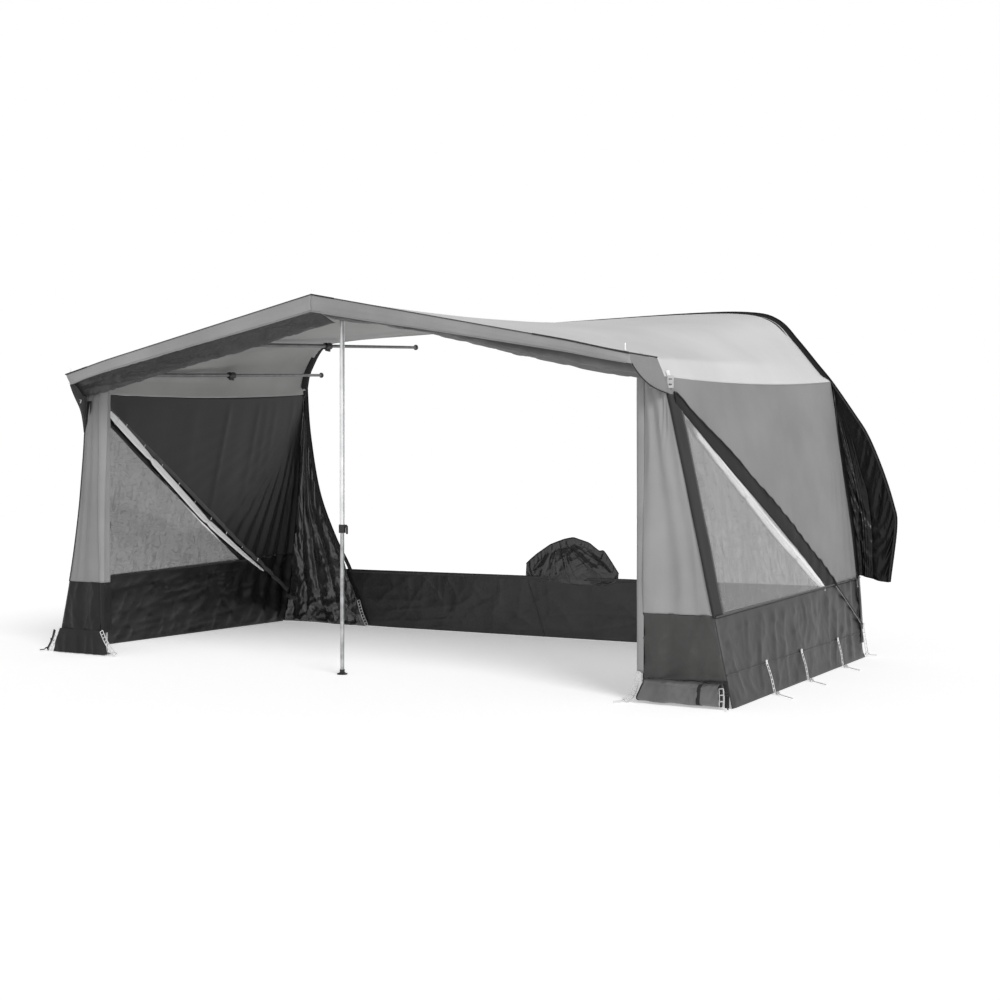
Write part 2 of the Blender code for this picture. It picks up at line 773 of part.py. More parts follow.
def add_ear(clamp, base, high, metal):
    # The lug that carries the lever, joined to the clamp's collar
    mesh = bpy.data.meshes.new("ear")
    block = bmesh.new()
    bmesh.ops.create_cube(block, size=1)
    sink = clamp_radius - upper_radius - clearance
    length = ear_length + sink / 2
    bmesh.ops.scale(block, vec=(length, ear_width, ear_height), verts=block.verts)
    place = Vector((clamp_radius + ear_length - length / 2, 0, high - ear_height / 2))
    bmesh.ops.translate(block, vec=place, verts=block.verts)
    block.to_mesh(mesh)
    block.free()
    cutter = add_object("ear_" + clamp.name, mesh, metal["plastic"], clamp.parent)
    cutter.matrix_local = base
    cutter.hide_render = True
    cutter.display_type = "WIRE"
    union = clamp.modifiers.new("ear", "BOOLEAN")
    union.operation = "UNION"
    union.solver = "EXACT"
    union.object = cutter


def add_lever(name, material, parent):
    # A flat lever that hangs from its rounded head; the origin is the hinge
    outline = []
    for k in range(7):
        turn = math.pi * k / 6
        outline.append(Vector((lever_half * math.cos(turn), 0, lever_half * math.sin(turn))))
    outline.append(Vector((-lever_half, 0, -lever_length)))
    outline.append(Vector((0, 0, -lever_length - lever_half)))
    outline.append(Vector((lever_half, 0, -lever_length)))
    rings = [[p + Vector((0, y, 0)) for p in outline] for y in (-ear_width / 2, ear_width / 2)]
    return add_sweep(name, rings, material, parent, math.radians(35))


def build_frame(metal, parent):
    # The front beams lie under the roof behind the fascia and meet in the peak bracket
    bends = {}
    for side, sign in sides.items():
        slope = math.atan2(peak_height - eave_height[side], eave_half)
        drop = (sheet_thick / 2 + bracket_radius) / math.cos(slope) + clearance

        def beam_point(x):
            return Vector((sign * x, beam_line, roof_height(side, x, beam_line) - drop))

        bends[side] = beam_point(bracket_half)
        start = beam_point(bracket_half + clearance)
        end = beam_point(eave_half - sheet_thick / 2 - clearance - beam_radius)
        bore = beam_radius - tube_wall
        add_tube("front_beam_" + side, start, end, beam_radius, bore, metal["tube"], parent)
        peak = beam_point(0)
    path = [bends["left"], peak, bends["right"]]
    rings = []
    facets = 12
    for point in path:
        across = (path[2] - path[0]).normalized()
        if point is not peak:
            across = (point - peak).normalized() * (1 if point is path[2] else -1)
        up = Vector((-across.z, 0, across.x))
        stretch = 1 / across.dot((path[2] - peak).normalized()) if point is peak else 1
        rings.append([point + (up * math.sin(math.tau * k / facets) * stretch
                               + Vector((0, math.cos(math.tau * k / facets), 0))) * bracket_radius
                      for k in range(facets)])
    add_sweep("peak_bracket", rings, metal["plastic"], parent, math.radians(40))

    # Roof poles from the front beam to the rail, and the uprights below three of them
    ear_turns = {"left": math.radians(90), "right": math.radians(90), "centre": 0}
    poles = [("left", "edge"), ("left", "mid"), ("right", "centre"), ("right", "mid"), ("right", "edge")]
    for side, kind in poles:
        front, rear = pole_ends(side, kind)
        name = "roof_pole_centre" if kind == "centre" else "roof_pole_" + side + "_" + kind
        along = build_pole(name, front, rear, metal, parent)
        print(name, "from", tuple(round(v, 4) for v in front), "axis", tuple(round(v, 5) for v in along))
        if kind == "mid":
            continue
        t = (-upright_line - front.y) / (rear.y - front.y)
        under = front.lerp(rear, t)
        slope = math.asin(along.z)
        top = under.z - outer_radius / math.cos(slope) - upper_radius * math.tan(slope) - clearance
        key = "centre" if kind == "centre" else side
        name = "centre_upright" if kind == "centre" else side + "_upright"
        build_upright(name, under.x, top, ear_turns[key], key == "centre", metal, parent)


def centre_on_footprint(root):
    # Moves the whole awning so that the middle of its footprint is the origin
    bpy.context.view_layer.update()
    graph = bpy.context.evaluated_depsgraph_get()
    low = Vector((math.inf, math.inf))
    high = Vector((-math.inf, -math.inf))
    for obj in bpy.context.scene.objects:
        if obj.type != "MESH" or obj.hide_render:
            continue
        shape = obj.evaluated_get(graph)
        for vertex in shape.data.vertices:
            place = obj.matrix_world @ vertex.co
            low = Vector((min(low.x, place.x), min(low.y, place.y)))
            high = Vector((max(high.x, place.x), max(high.y, place.y)))
    root.location = (-(low.x + high.x) / 2, -(low.y + high.y) / 2, 0)
    print("shift", tuple(round(v, 5) for v in root.location))
    print("footprint", tuple(round(v, 4) for v in high - low))


def main():
    for obj in list(bpy.data.objects):
        bpy.data.objects.remove(obj, do_unlink=True)
    cloth = {
        "roof": make_material("roof_cloth", (0.62, 0.62, 0.62), 0.75),
        "valance": make_material("valance_cloth", (0.30, 0.30, 0.30), 0.8),
        "wall": make_material("wall_cloth", (0.27, 0.27, 0.27), 0.8),
        "band": make_material("band_cloth", (0.05, 0.05, 0.05), 0.7),
        "mud": make_material("mud_cloth", (0.06, 0.06, 0.06), 0.55),
        "window": make_material("window_film", (0.5, 0.5, 0.5), 0.15, 0.0, 0.4),
        "coated": make_material("coated_cloth", (0.02, 0.02, 0.02), 0.35),
        "blind": make_material("blind_cloth", (0.8, 0.8, 0.8), 0.6),
        "keder": make_material("keder_rubber", (0.01, 0.01, 0.01), 0.5),
    }
    metal = {
        "tube": make_material("steel_tube", (0.65, 0.65, 0.66), 0.3, 1.0),
        "plastic": make_material("clamp_plastic", (0.03, 0.03, 0.03), 0.45),
    }
    root = bpy.data.objects.new("awning", None)
    bpy.context.scene.collection.objects.link(root)
    for side in sides:
        ridge_turn = build_roof(side, cloth, root)
        build_canopy(side, ridge_turn, cloth, root)
        build_legs(side, cloth, root)
        build_wall(side, cloth, root)
        build_rear_flap(side, cloth, root)
    build_keder(cloth, root)
    build_skirt(cloth, root)
    build_frame(metal, root)
    centre_on_footprint(root)


main()
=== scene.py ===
import json
import math

import bmesh
import bpy
import numpy as np
from mathutils import Matrix, Vector


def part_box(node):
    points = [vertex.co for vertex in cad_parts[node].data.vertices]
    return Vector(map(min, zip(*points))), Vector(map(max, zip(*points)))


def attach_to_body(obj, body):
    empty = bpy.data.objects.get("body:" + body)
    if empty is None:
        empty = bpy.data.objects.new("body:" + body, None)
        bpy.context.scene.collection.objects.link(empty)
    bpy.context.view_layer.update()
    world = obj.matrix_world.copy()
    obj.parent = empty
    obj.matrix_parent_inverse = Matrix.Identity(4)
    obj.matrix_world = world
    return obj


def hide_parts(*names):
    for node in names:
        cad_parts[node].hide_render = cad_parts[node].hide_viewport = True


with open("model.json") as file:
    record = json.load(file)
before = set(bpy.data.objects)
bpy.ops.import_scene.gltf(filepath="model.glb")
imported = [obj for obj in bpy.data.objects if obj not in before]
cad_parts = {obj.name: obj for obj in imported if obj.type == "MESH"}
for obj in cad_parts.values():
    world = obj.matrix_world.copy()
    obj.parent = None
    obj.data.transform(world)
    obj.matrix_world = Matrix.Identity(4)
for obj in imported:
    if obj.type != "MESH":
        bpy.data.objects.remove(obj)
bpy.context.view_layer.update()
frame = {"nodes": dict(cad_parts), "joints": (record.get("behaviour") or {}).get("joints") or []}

# Where the awning stands: the ridge line in X, the rail's plane in Y
footLow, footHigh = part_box("centre_upright_foot")
beadLow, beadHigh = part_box("rail_beading")
beadDepth = 0.05  # the flat strip of the beading, in front of the rail
site = np.array([(footLow.x + footHigh.x) / 2, beadLow.y + beadDepth, 0.0])
sides = {"left": -1, "right": 1}

# The cut of the awning, in metres from the ridge line and the rail's plane
cut = {
    "baseFront": {"left": 2.39, "right": 2.483}, "baseRear": {"left": 2.42, "right": 2.50},
    "bulgeFront": {"left": -0.06, "right": 0.0}, "bulgeRear": {"left": 0.0, "right": 0.045},
    "legPlane": 2.52, "canopyReach": 2.77, "peakHeight": 2.25, "eaveHalf": 2.03,
    "eaveHeight": {"left": 1.88, "right": 1.815}, "sideDrop": 0.115, "sideFlare": 0.07,
    "seamSag": 0.035, "roofSag": 0.055, "railHeight": 2.37, "railReach": {"left": 2.20, "right": 2.70},
    "fasciaTip": {"left": 0.07, "right": 0.055}, "fasciaPeak": 0.10,
    "mudFront": {"left": 0.487, "right": 0.455}, "mudRear": {"left": 0.574, "right": 0.527},
    "bandWidth": 0.13, "zipTop": {"left": 1.71, "right": 1.61}, "zipRear": {"left": 0.245, "right": 0.20},
    "zipWidth": 0.115, "endHeight": {"left": 1.50, "right": 1.61},
    "legMud": {"left": 0.487, "right": 0.466}, "skirtHeight": 0.46,
    "wheelCentre": 0.316, "wheelHalf": 0.386, "wheelTop": 0.755,
}
rearEdge = -beadDepth - 0.001  # where the walls and mud panels end
# The rail's outline from the ridge down, as shares of its reach and its height
railShares = {
    "left": [(0, 1), (0.45, 1), (0.80, 0.995), (0.915, 0.975), (0.98, 0.897), (0.998, 0.848),
             (1, 0.806), (0.985, 0.657), (0.941, 0.461), (0.866, 0.304), (0.795, 0.196), (0.70, 0.012)],
    "right": [(0, 1), (0.45, 1), (0.63, 0.99), (0.704, 0.962), (0.755, 0.899), (0.804, 0.829),
              (0.841, 0.776), (0.896, 0.684), (0.93, 0.622), (0.965, 0.527), (0.992, 0.43),
              (1, 0.367), (0.984, 0.211)],
}
creaseStep, seamStep = 5, 6


def stage(words):
    print("scene:", words)


# Small maths

def mix(a, b, t):
    return a + (b - a) * t


def smoothStep(t):
    t = np.clip(t, 0, 1)
    return t * t * (3 - 2 * t)


def relax(values, times):
    # evens out a run of values, between its two ends
    for _ in range(times):
        values[1:-1] = (values[:-2] + 2 * values[1:-1] + values[2:]) / 4


def spread(a, b, step):
    return np.linspace(a, b, max(2, int(round(abs(b - a) / step)) + 1))


def curvePoint(p0, p1, p2, p3, t):
    # a point on the smooth curve through four points, between the middle two
    return 0.5 * (2 * p1 + (p2 - p0) * t + (2 * p0 - 5 * p1 + 4 * p2 - p3) * t ** 2
                  + (3 * p1 - p0 - 3 * p2 + p3) * t ** 3)


def softNoise(a, b, seed):
    # smooth noise from -1 to 1 over a plane, one bump to each unit
    a, b = np.asarray(a, float), np.asarray(b, float)
    ia, ib = np.floor(a).astype(np.int64), np.floor(b).astype(np.int64)
    fa, fb = smoothStep(a - ia), smoothStep(b - ib)

    def corner(i, j):
        h = (i * 374761393 + j * 668265263 + seed * 1442695041) & 0xFFFFFFFF
        h = ((h ^ (h >> 13)) * 1274126177) & 0xFFFFFFFF
        return ((h ^ (h >> 16)) & 0xFFFF) / 32767.5 - 1

    top = mix(corner(ia, ib), corner(ia + 1, ib), fa)
    low = mix(corner(ia, ib + 1), corner(ia + 1, ib + 1), fa)
    return mix(top, low, fb)


def creases(a, b, seed, sharp=3):
    # thin ridges, from 0 to 1, where the noise changes sign
    return (1 - np.abs(softNoise(a, b, seed))) ** sharp


def folds(a, b, angle, spacing, length, seed, sharp=3):
    # creases that run along one direction (degrees from the first axis), this far apart and this long
    c, s = math.cos(math.radians(angle)), math.sin(math.radians(angle))
    along, across = a * c + b * s, -a * s + b * c
    wander = softNoise(along / length * 0.7, across / spacing * 0.3, seed + 7) * 0.6
    return creases(along / length, across / spacing + wander, seed, sharp)


def crumple(a, b, seed, size):
    # crushed cloth: sharp ridges of three sizes that bend and cross at no set angle
    bentA = a + 0.5 * size * softNoise(a / size / 1.6, b / size / 1.6, seed + 11)
    bentB = b + 0.5 * size * softNoise(a / size / 1.6 + 9, b / size / 1.6, seed + 12)
    total = 0
    for turn, share, weight in ((25, 1.0, 0.6), (-40, 0.5, 0.28), (70, 0.27, 0.12)):
        c, s = math.cos(math.radians(turn)), math.sin(math.radians(turn))
        across, along = bentA * c + bentB * s, bentB * c - bentA * s
        total = total + weight * creases(across / (size * share), along / (size * share), seed + turn, 3)
    return total


# The surfaces of the awning

def railRun(side, first, last, shares):
    # points (x, z) of the rail's outline between two steps, at shares of the length between them
    points = np.array([(x * cut["railReach"][side], z * cut["railHeight"]) for x, z in railShares[side]])
    dense, steps = [], 24
    for k in range(first, last):
        p1, p2 = points[k], points[k + 1]
        p0 = points[k - 1] if k > 0 else p1 - (p2 - p1)
        p3 = points[k + 2] if k + 2 < len(points) else p2 + (p2 - p1)
        dense += [curvePoint(p0, p1, p2, p3, n / steps) for n in range(steps)]
    dense = np.array([*dense, points[last]])
    length = np.concatenate([[0], np.cumsum(np.linalg.norm(np.diff(dense, axis=0), axis=1))])
    want = np.asarray(shares) * length[-1]
    return np.stack([np.interp(want, length, dense[:, 0]), np.interp(want, length, dense[:, 1])], -1)


def shareAt(y):
    return (y + cut["canopyReach"]) / (cut["canopyReach"] - beadDepth)


def gable(side, x):
    return cut["peakHeight"] - (cut["peakHeight"] - cut["eaveHeight"][side]) * x / cut["eaveHalf"]


def seamOf(side, w):
    # outboard x and z of the seam between the roof's side and the wall
    rear = railRun(side, 0, seamStep, [1])[0]
    x = mix(cut["eaveHalf"] + cut["sideFlare"], rear[0], w)
    z = mix(cut["eaveHeight"][side] - cut["sideDrop"], rear[1], w) - cut["seamSag"] * 4 * w * (1 - w)
    return x, z


def wallX(side, y, z):
    w = shareAt(np.asarray(y, float))
    sx, sz = seamOf(side, w)
    h = z / sz
    base = mix(cut["baseFront"][side], cut["baseRear"][side], w)
    bulge = mix(cut["bulgeFront"][side], cut["bulgeRear"][side], w)
    return mix(base, sx, h) + bulge * np.sin(math.pi * h)


def onWall(side, y, z, out=0.0):
    y, z = np.broadcast_arrays(np.asarray(y, float), np.asarray(z, float))
    return np.stack([sides[side] * (wallX(side, y, z) + out), y, z], -1)


def mudAt(side, y):
    return mix(cut["mudFront"][side], cut["mudRear"][side], (y + cut["legPlane"]) / cut["legPlane"])


bandEdge = -cut["legPlane"] + cut["bandWidth"]


def zipAt(side, y):
    return mix(cut["zipTop"][side], cut["zipRear"][side], (y - bandEdge) / (-beadDepth - bandEdge))


def zipMeets(side, height):
    # the y where the zip line is this far above the mud seam
    low, high = bandEdge, -beadDepth
    for _ in range(40):
        middle = (low + high) / 2
        if zipAt(side, middle) - mudAt(side, middle) > height:
            low = middle
        else:
            high = middle
    return low


# Materials

def toLinear(code):
    # an sRGB hex colour as linear values
    values = [int(code[i:i + 2], 16) / 255 for i in (1, 3, 5)]
    return [v / 12.92 if v <= 0.04045 else ((v + 0.055) / 1.055) ** 2.4 for v in values] + [1.0]


def addNode(tree, kind, settings=None, links=None, **sockets):
    # a node with its properties, its input values and what feeds its inputs
    node = tree.nodes.new(kind)
    for key, value in (settings or {}).items():
        setattr(node, key, value)
    for key, value in {**sockets, **(links or {})}.items():
        socket = node.inputs[int(key[1:])] if key[0] == "i" and key[1:].isdigit() else node.inputs[key]
        if isinstance(value, bpy.types.NodeSocket):
            tree.links.new(value, socket)
        else:
            socket.default_value = value
    return node


def startMaterial(name):
    material = bpy.data.materials.new(name)
    material.use_nodes = True
    tree = material.node_tree
    shader = tree.nodes["Principled BSDF"]
    place = addNode(tree, "ShaderNodeTexCoord").outputs["Object"]
    return material, tree, shader, place


def wovenMaterial(name, spec):
    # Woven polyester with a polyurethane coat: a fine plain weave, threads of slightly unlike tone,
    # faint clouding and soft rumples, and the low sheen of the coating
    material, tree, shader, place = startMaterial(name)
    cloth = addNode(tree, "ShaderNodeUVMap", {"uv_map": "cloth"}).outputs["UV"]
    cloud = addNode(tree, "ShaderNodeTexNoise", Vector=place, Scale=1000 / spec["cloudMm"], Detail=3.0)
    heather = addNode(tree, "ShaderNodeTexNoise", Vector=cloth, Scale=1000 / spec["heatherMm"], Detail=2.0)
    mixed = addNode(tree, "ShaderNodeMath", {"operation": "MULTIPLY_ADD"},
                    {"i0": heather.outputs["Fac"], "i1": spec["heatherShare"], "i2": cloud.outputs["Fac"]})
    ramp = addNode(tree, "ShaderNodeValToRGB", Fac=mixed.outputs["Value"])
    ramp.color_ramp.elements[0].position = 0.35 + spec["heatherShare"] * 0.3
    ramp.color_ramp.elements[1].position = 0.65 + spec["heatherShare"] * 0.7
    ramp.color_ramp.elements[0].color = toLinear(spec["dark"])
    ramp.color_ramp.elements[1].color = toLinear(spec["light"])
    tone = ramp.outputs["Color"]
    if "fade" in spec:
        # painted shade and light: the tone is scaled from one height of the sheet to another, darker where it
        # stands in for the shadow in a recess and paler where it stands in for light on an edge: (from, to,
        # darkest, palest)
        first, last, least, most = spec["fade"]
        height = addNode(tree, "ShaderNodeSeparateXYZ", Vector=cloth).outputs["Y"]
        share = addNode(tree, "ShaderNodeMapRange", {"interpolation_type": "SMOOTHSTEP"},
                        {"Value": height, "From Min": first, "From Max": last, "To Min": least,
                         "To Max": most})
        tone = addNode(tree, "ShaderNodeVectorMath", {"operation": "SCALE"},
                       {"i0": tone, "Scale": share.outputs["Result"]}).outputs["Vector"]
    tree.links.new(tone, shader.inputs["Base Color"])
    # threads are about 0.5 mm apart; drawn coarser, as wide as weaveMm, so that they show
    warp = addNode(tree, "ShaderNodeTexWave", {"bands_direction": "X"}, Vector=cloth,
                   Scale=1000 / spec["weaveMm"] / 6.28)
    weft = addNode(tree, "ShaderNodeTexWave", {"bands_direction": "Y"}, Vector=cloth,
                   Scale=1000 / spec["weaveMm"] / 6.28)
    weave = addNode(tree, "ShaderNodeMath", {"operation": "ADD"},
                    {"i0": warp.outputs["Fac"], "i1": weft.outputs["Fac"]})
    fine = addNode(tree, "ShaderNodeBump", Strength=0.15, Distance=0.0005, Height=weave.outputs["Value"])
    rumple = addNode(tree, "ShaderNodeTexNoise", Vector=place, Scale=1000 / spec["rumpleMm"], Detail=4.0,
                     Distortion=0.6)
    soft = addNode(tree, "ShaderNodeBump", Strength=spec["rumple"], Distance=0.01,
                   Height=rumple.outputs["Fac"], Normal=fine.outputs["Normal"])
    tree.links.new(soft.outputs["Normal"], shader.inputs["Normal"])
    shader.inputs["Roughness"].default_value = spec["rough"]
    shader.inputs["Sheen Weight"].default_value = spec["sheen"]
    shader.inputs["Sheen Roughness"].default_value = 0.4
    shader.inputs["Specular IOR Level"].default_value = spec["gloss"]
    return material


# The kinds of cloth: how rough and glossy the coat is, how wide its clouding, threads and rumples are
clothKinds = {
    "plain": {"rough": 0.65, "sheen": 0.1, "gloss": 0.3, "cloudMm": 200, "heatherMm": 4,
              "heatherShare": 0.3, "weaveMm": 3, "rumpleMm": 90, "rumple": 0.1},
    "roofing": {"rough": 0.65, "sheen": 0.1, "gloss": 0.3, "cloudMm": 500, "heatherMm": 5,
                "heatherShare": 0.1, "weaveMm": 4, "rumpleMm": 120, "rumple": 0.08},
    "groundsheet": {"rough": 0.45, "sheen": 0.0, "gloss": 0.4, "cloudMm": 250, "heatherMm": 5,
                    "heatherShare": 0.15, "weaveMm": 4, "rumpleMm": 70, "rumple": 0.22},
    "coated": {"rough": 0.28, "sheen": 0.0, "gloss": 0.6, "cloudMm": 200, "heatherMm": 6,
               "heatherShare": 0.1, "weaveMm": 5, "rumpleMm": 50, "rumple": 0.3},
    "tape": {"rough": 0.6, "sheen": 0.1, "gloss": 0.3, "cloudMm": 60, "heatherMm": 3,
             "heatherShare": 0.4, "weaveMm": 2.5, "rumpleMm": 40, "rumple": 0.1},
}


def cloth(dark, light, kind, **changes):
    # its darkest and palest threads, and how it differs from others of its kind
    return {**clothKinds[kind], "dark": dark, "light": light, **changes}


clothSpecs = {
    "roofOuter": cloth("#C3C3C3", "#CFCFCF", "roofing", rough=0.6, gloss=0.35, cloudMm=700, rumpleMm=160,
                       rumple=0.05),
    # painted shade: the roof's inner face is darker than its outer face, to stand in for the dim light under
    # the roof
    "roofInner": cloth("#919190", "#9C9C9B", "roofing", rough=0.7),
    "valance": cloth("#898989", "#979797", "plain", sheen=0.15, cloudMm=300),
    "valanceInner": cloth("#565656", "#646464", "plain", rough=0.6, gloss=0.35, rumpleMm=60, rumple=0.25),
    "wallOuter": cloth("#777777", "#858585", "plain", rough=0.7, sheen=0.15, cloudMm=400,
                       heatherShare=0.4, rumpleMm=140, rumple=0.08),
    "wallInner": cloth("#181818", "#1F1F1F", "plain", rough=0.38, sheen=0.05, cloudMm=400, rumpleMm=120),
    # painted shade: the right soffit's front strip, in the recess behind the fascia, is darkened to stand in
    # for the shadow there
    "valanceUnder": cloth("#5E5E5E", "#6D6D6D", "plain", rough=0.6, gloss=0.35, rumpleMm=60, rumple=0.2,
                          fade=(0.1, 0.2, 0.22, 1.0)),
    # painted shade: the left soffit is a darker copy of the soffit cloth, standing in for the shade it lies
    # in; towards its inner edge it is lightened as painted light
    "valanceShade": cloth("#1C1C1C", "#282828", "plain", rough=0.45, sheen=0.05, gloss=0.5, cloudMm=120,
                          rumpleMm=45, rumple=0.35, fade=(0.17, 0.29, 1.0, 3.2)),
    "valanceHem": cloth("#7C7C7C", "#8A8A8A", "plain", sheen=0.15, rumpleMm=60),
    "sleeve": cloth("#898989", "#969696", "plain", sheen=0.15, cloudMm=300, rumple=0.12),
    "ladder": cloth("#BDBDBD", "#D8D8D8", "tape", rough=0.5, sheen=0.05, gloss=0.4, cloudMm=40,
                    heatherShare=0.3),
    "bag": cloth("#4F4F4F", "#666666", "coated", rough=0.3, rumpleMm=45),
    "strap": cloth("#424242", "#505050", "tape"),
    "band": cloth("#191919", "#202020", "plain", rough=0.7, sheen=0.15, gloss=0.25, rumple=0.08),
    "zipBand": cloth("#121212", "#191919", "plain", rough=0.7, gloss=0.2, rumple=0.12),
    "mud": cloth("#2F2F2E", "#3A3A39", "groundsheet", sheen=0.05, gloss=0.5),
    "mudInner": cloth("#0E0E0E", "#151515", "groundsheet", rough=0.38, gloss=0.3, rumple=0.25),
    "coated": cloth("#090909", "#101010", "coated", gloss=0.28, rumple=0.35),
    "skirt": cloth("#242424", "#2F2F2F", "coated", rough=0.4, gloss=0.5, cloudMm=250, rumpleMm=60),
    "blind": cloth("#F0F0F0", "#FCFCFC", "plain", rough=0.5, gloss=0.4, heatherShare=0.1, rumpleMm=50,
                   rumple=0.2),
    # painted light: a paler copy of the wall cloth for the right leg, standing in for the light that falls on
    # it
    "wallNear": cloth("#8C8C8C", "#9A9A9A", "plain", rough=0.7, sheen=0.15, cloudMm=400,
                      heatherShare=0.4, rumpleMm=140, rumple=0.08),
    "valanceEnd": cloth("#757575", "#838383", "plain", sheen=0.15, cloudMm=300),
    "mudSide": cloth("#1D1D1D", "#262626", "groundsheet", sheen=0.05),
    # painted shade: a darker copy of the lower panel cloth for the left leg, its ground flap and its sleeve
    # foot, standing in for the shade on that side
    "mudDeep": cloth("#181818", "#222222", "groundsheet", gloss=0.2),
    # painted highlight: a paler copy of the coated cloth for the left rear flap, standing in for the glints
    # on its crumples, with a smoother and glossier coat
    "coatedLeft": cloth("#2D2D2D", "#414141", "coated", rough=0.2, gloss=0.9),
    "coatedWheel": cloth("#242424", "#333333", "coated", rough=0.24, gloss=0.7, rumple=0.35),
    "webbing": cloth("#141414", "#232323", "tape"),
}


def filmMaterial():
    # Clear plasticised PVC film, calendered: glossy, faintly grey, with fine crinkles from folding
    material, tree, shader, place = startMaterial("pvc_film")
    stretched = addNode(tree, "ShaderNodeMapping", Vector=place, Scale=(1.0, 1.0, 0.35))
    long = addNode(tree, "ShaderNodeTexNoise", Vector=stretched.outputs["Vector"], Scale=1000 / 45,
                   Detail=5.0, Distortion=1.4)
    small = addNode(tree, "ShaderNodeTexVoronoi", {"feature": "DISTANCE_TO_EDGE"}, Vector=place,
                    Scale=1000 / 60, Randomness=1.0)
    scratch = addNode(tree, "ShaderNodeValToRGB", Fac=small.outputs["Distance"])
    scratch.color_ramp.elements[0].color = (1, 1, 1, 1)
    scratch.color_ramp.elements[1].color = (0, 0, 0, 1)
    scratch.color_ramp.elements[1].position = 0.03
    # long fine scratches from rolling up, in two directions
    lines = []
    for turn in (35, -20):
        ruled = addNode(tree, "ShaderNodeMapping", Vector=place, Rotation=(math.radians(turn), 0, 0),
                        Scale=(0.5, 0.06, 1.6))
        noise = addNode(tree, "ShaderNodeTexNoise", Vector=ruled.outputs["Vector"], Scale=1000 / 22,
                        Detail=2.0)
        off = addNode(tree, "ShaderNodeMath", {"operation": "SUBTRACT"},
                      {"i0": noise.outputs["Fac"], "i1": 0.5})
        size = addNode(tree, "ShaderNodeMath", {"operation": "ABSOLUTE"}, {"i0": off.outputs["Value"]})
        line = addNode(tree, "ShaderNodeMapRange", None,
                       {"Value": size.outputs["Value"], "From Max": 0.012, "To Min": 1.0, "To Max": 0.0})
        lines.append(line.outputs["Result"])
    scored = addNode(tree, "ShaderNodeMath", {"operation": "MAXIMUM"}, {"i0": lines[0], "i1": lines[1]})
    height = addNode(tree, "ShaderNodeMath", {"operation": "MULTIPLY_ADD"},
                     {"i0": scratch.outputs["Color"], "i1": 0.3, "i2": long.outputs["Fac"]})
    bump = addNode(tree, "ShaderNodeBump", Strength=0.2, Distance=0.004, Height=height.outputs["Value"])
    tree.links.new(bump.outputs["Normal"], shader.inputs["Normal"])
    haze = addNode(tree, "ShaderNodeMapRange", {"interpolation_type": "SMOOTHSTEP"},
                   {"Value": height.outputs["Value"], "From Min": 0.35, "From Max": 0.9, "To Min": 0.62,
                    "To Max": 0.78})
    scored = addNode(tree, "ShaderNodeMath", {"operation": "MULTIPLY_ADD"},
                     {"i0": scored.outputs["Value"], "i1": 0.1, "i2": haze.outputs["Result"]})
    # where the rolled blind lies against the film, no air dulls it
    contact = addNode(tree, "ShaderNodeAttribute", {"attribute_name": "contact"})
    clear = addNode(tree, "ShaderNodeMapRange", None,
                    {"Value": contact.outputs["Fac"], "To Min": 1.0, "To Max": 0.2})
    seen = addNode(tree, "ShaderNodeMath", {"operation": "MULTIPLY"},
                   {"i0": scored.outputs["Value"], "i1": clear.outputs["Result"]})
    tree.links.new(seen.outputs["Value"], shader.inputs["Alpha"])
    shader.inputs["Base Color"].default_value = toLinear("#747474")
    shader.inputs["Roughness"].default_value = 0.12
    shader.inputs["IOR"].default_value = 1.53  # plasticised PVC
    shader.inputs["Specular IOR Level"].default_value = 0.6
    material.use_transparent_shadow = True
    return material


def steelMaterial(name, light, dark, rough):
    # Zinc-plated steel tube, drawn through a die: a soft satin shine with faint long streaks
    material, tree, shader, place = startMaterial(name)
    streak = addNode(tree, "ShaderNodeMapping", Vector=place, Scale=(1.0, 1.0, 0.02))
    grain = addNode(tree, "ShaderNodeTexNoise", Vector=streak.outputs["Vector"], Scale=1000 / 3, Detail=3.0)
    spots = addNode(tree, "ShaderNodeTexNoise", Vector=place, Scale=1000 / 60, Detail=4.0)
    both = addNode(tree, "ShaderNodeMath", {"operation": "MULTIPLY_ADD"},
                   {"i0": grain.outputs["Fac"], "i1": 0.4, "i2": spots.outputs["Fac"]})
    ramp = addNode(tree, "ShaderNodeValToRGB", Fac=both.outputs["Value"])
    ramp.color_ramp.elements[0].position = 0.5
    ramp.color_ramp.elements[1].position = 0.9
    ramp.color_ramp.elements[0].color = toLinear(dark)
    ramp.color_ramp.elements[1].color = toLinear(light)
    tree.links.new(ramp.outputs["Color"], shader.inputs["Base Color"])
    wear = addNode(tree, "ShaderNodeMapRange", None,
                   {"Value": both.outputs["Value"], "To Min": rough - 0.06, "To Max": rough + 0.12})
    tree.links.new(wear.outputs["Result"], shader.inputs["Roughness"])
    bump = addNode(tree, "ShaderNodeBump", Strength=0.08, Distance=0.0005, Height=grain.outputs["Fac"])
    tree.links.new(bump.outputs["Normal"], shader.inputs["Normal"])
    shader.inputs["Metallic"].default_value = 0.85
    return material


def mouldedMaterial(name, dark, light, rough, gloss=0.5):
    # Injection-moulded polyamide: fine spark texture from the mould, even tone, low shine
    material, tree, shader, place = startMaterial(name)
    grain = addNode(tree, "ShaderNodeTexNoise", Vector=place, Scale=1000 / 1.5, Detail=2.0)
    cloud = addNode(tree, "ShaderNodeTexNoise", Vector=place, Scale=1000 / 30, Detail=3.0)
    ramp = addNode(tree, "ShaderNodeValToRGB", Fac=cloud.outputs["Fac"])
    ramp.color_ramp.elements[0].position = 0.35
    ramp.color_ramp.elements[1].position = 0.7
    ramp.color_ramp.elements[0].color = toLinear(dark)
    ramp.color_ramp.elements[1].color = toLinear(light)
    tree.links.new(ramp.outputs["Color"], shader.inputs["Base Color"])
    bump = addNode(tree, "ShaderNodeBump", Strength=0.2, Distance=0.0003, Height=grain.outputs["Fac"])
    tree.links.new(bump.outputs["Normal"], shader.inputs["Normal"])
    shader.inputs["Roughness"].default_value = rough
    shader.inputs["Specular IOR Level"].default_value = gloss
    return material


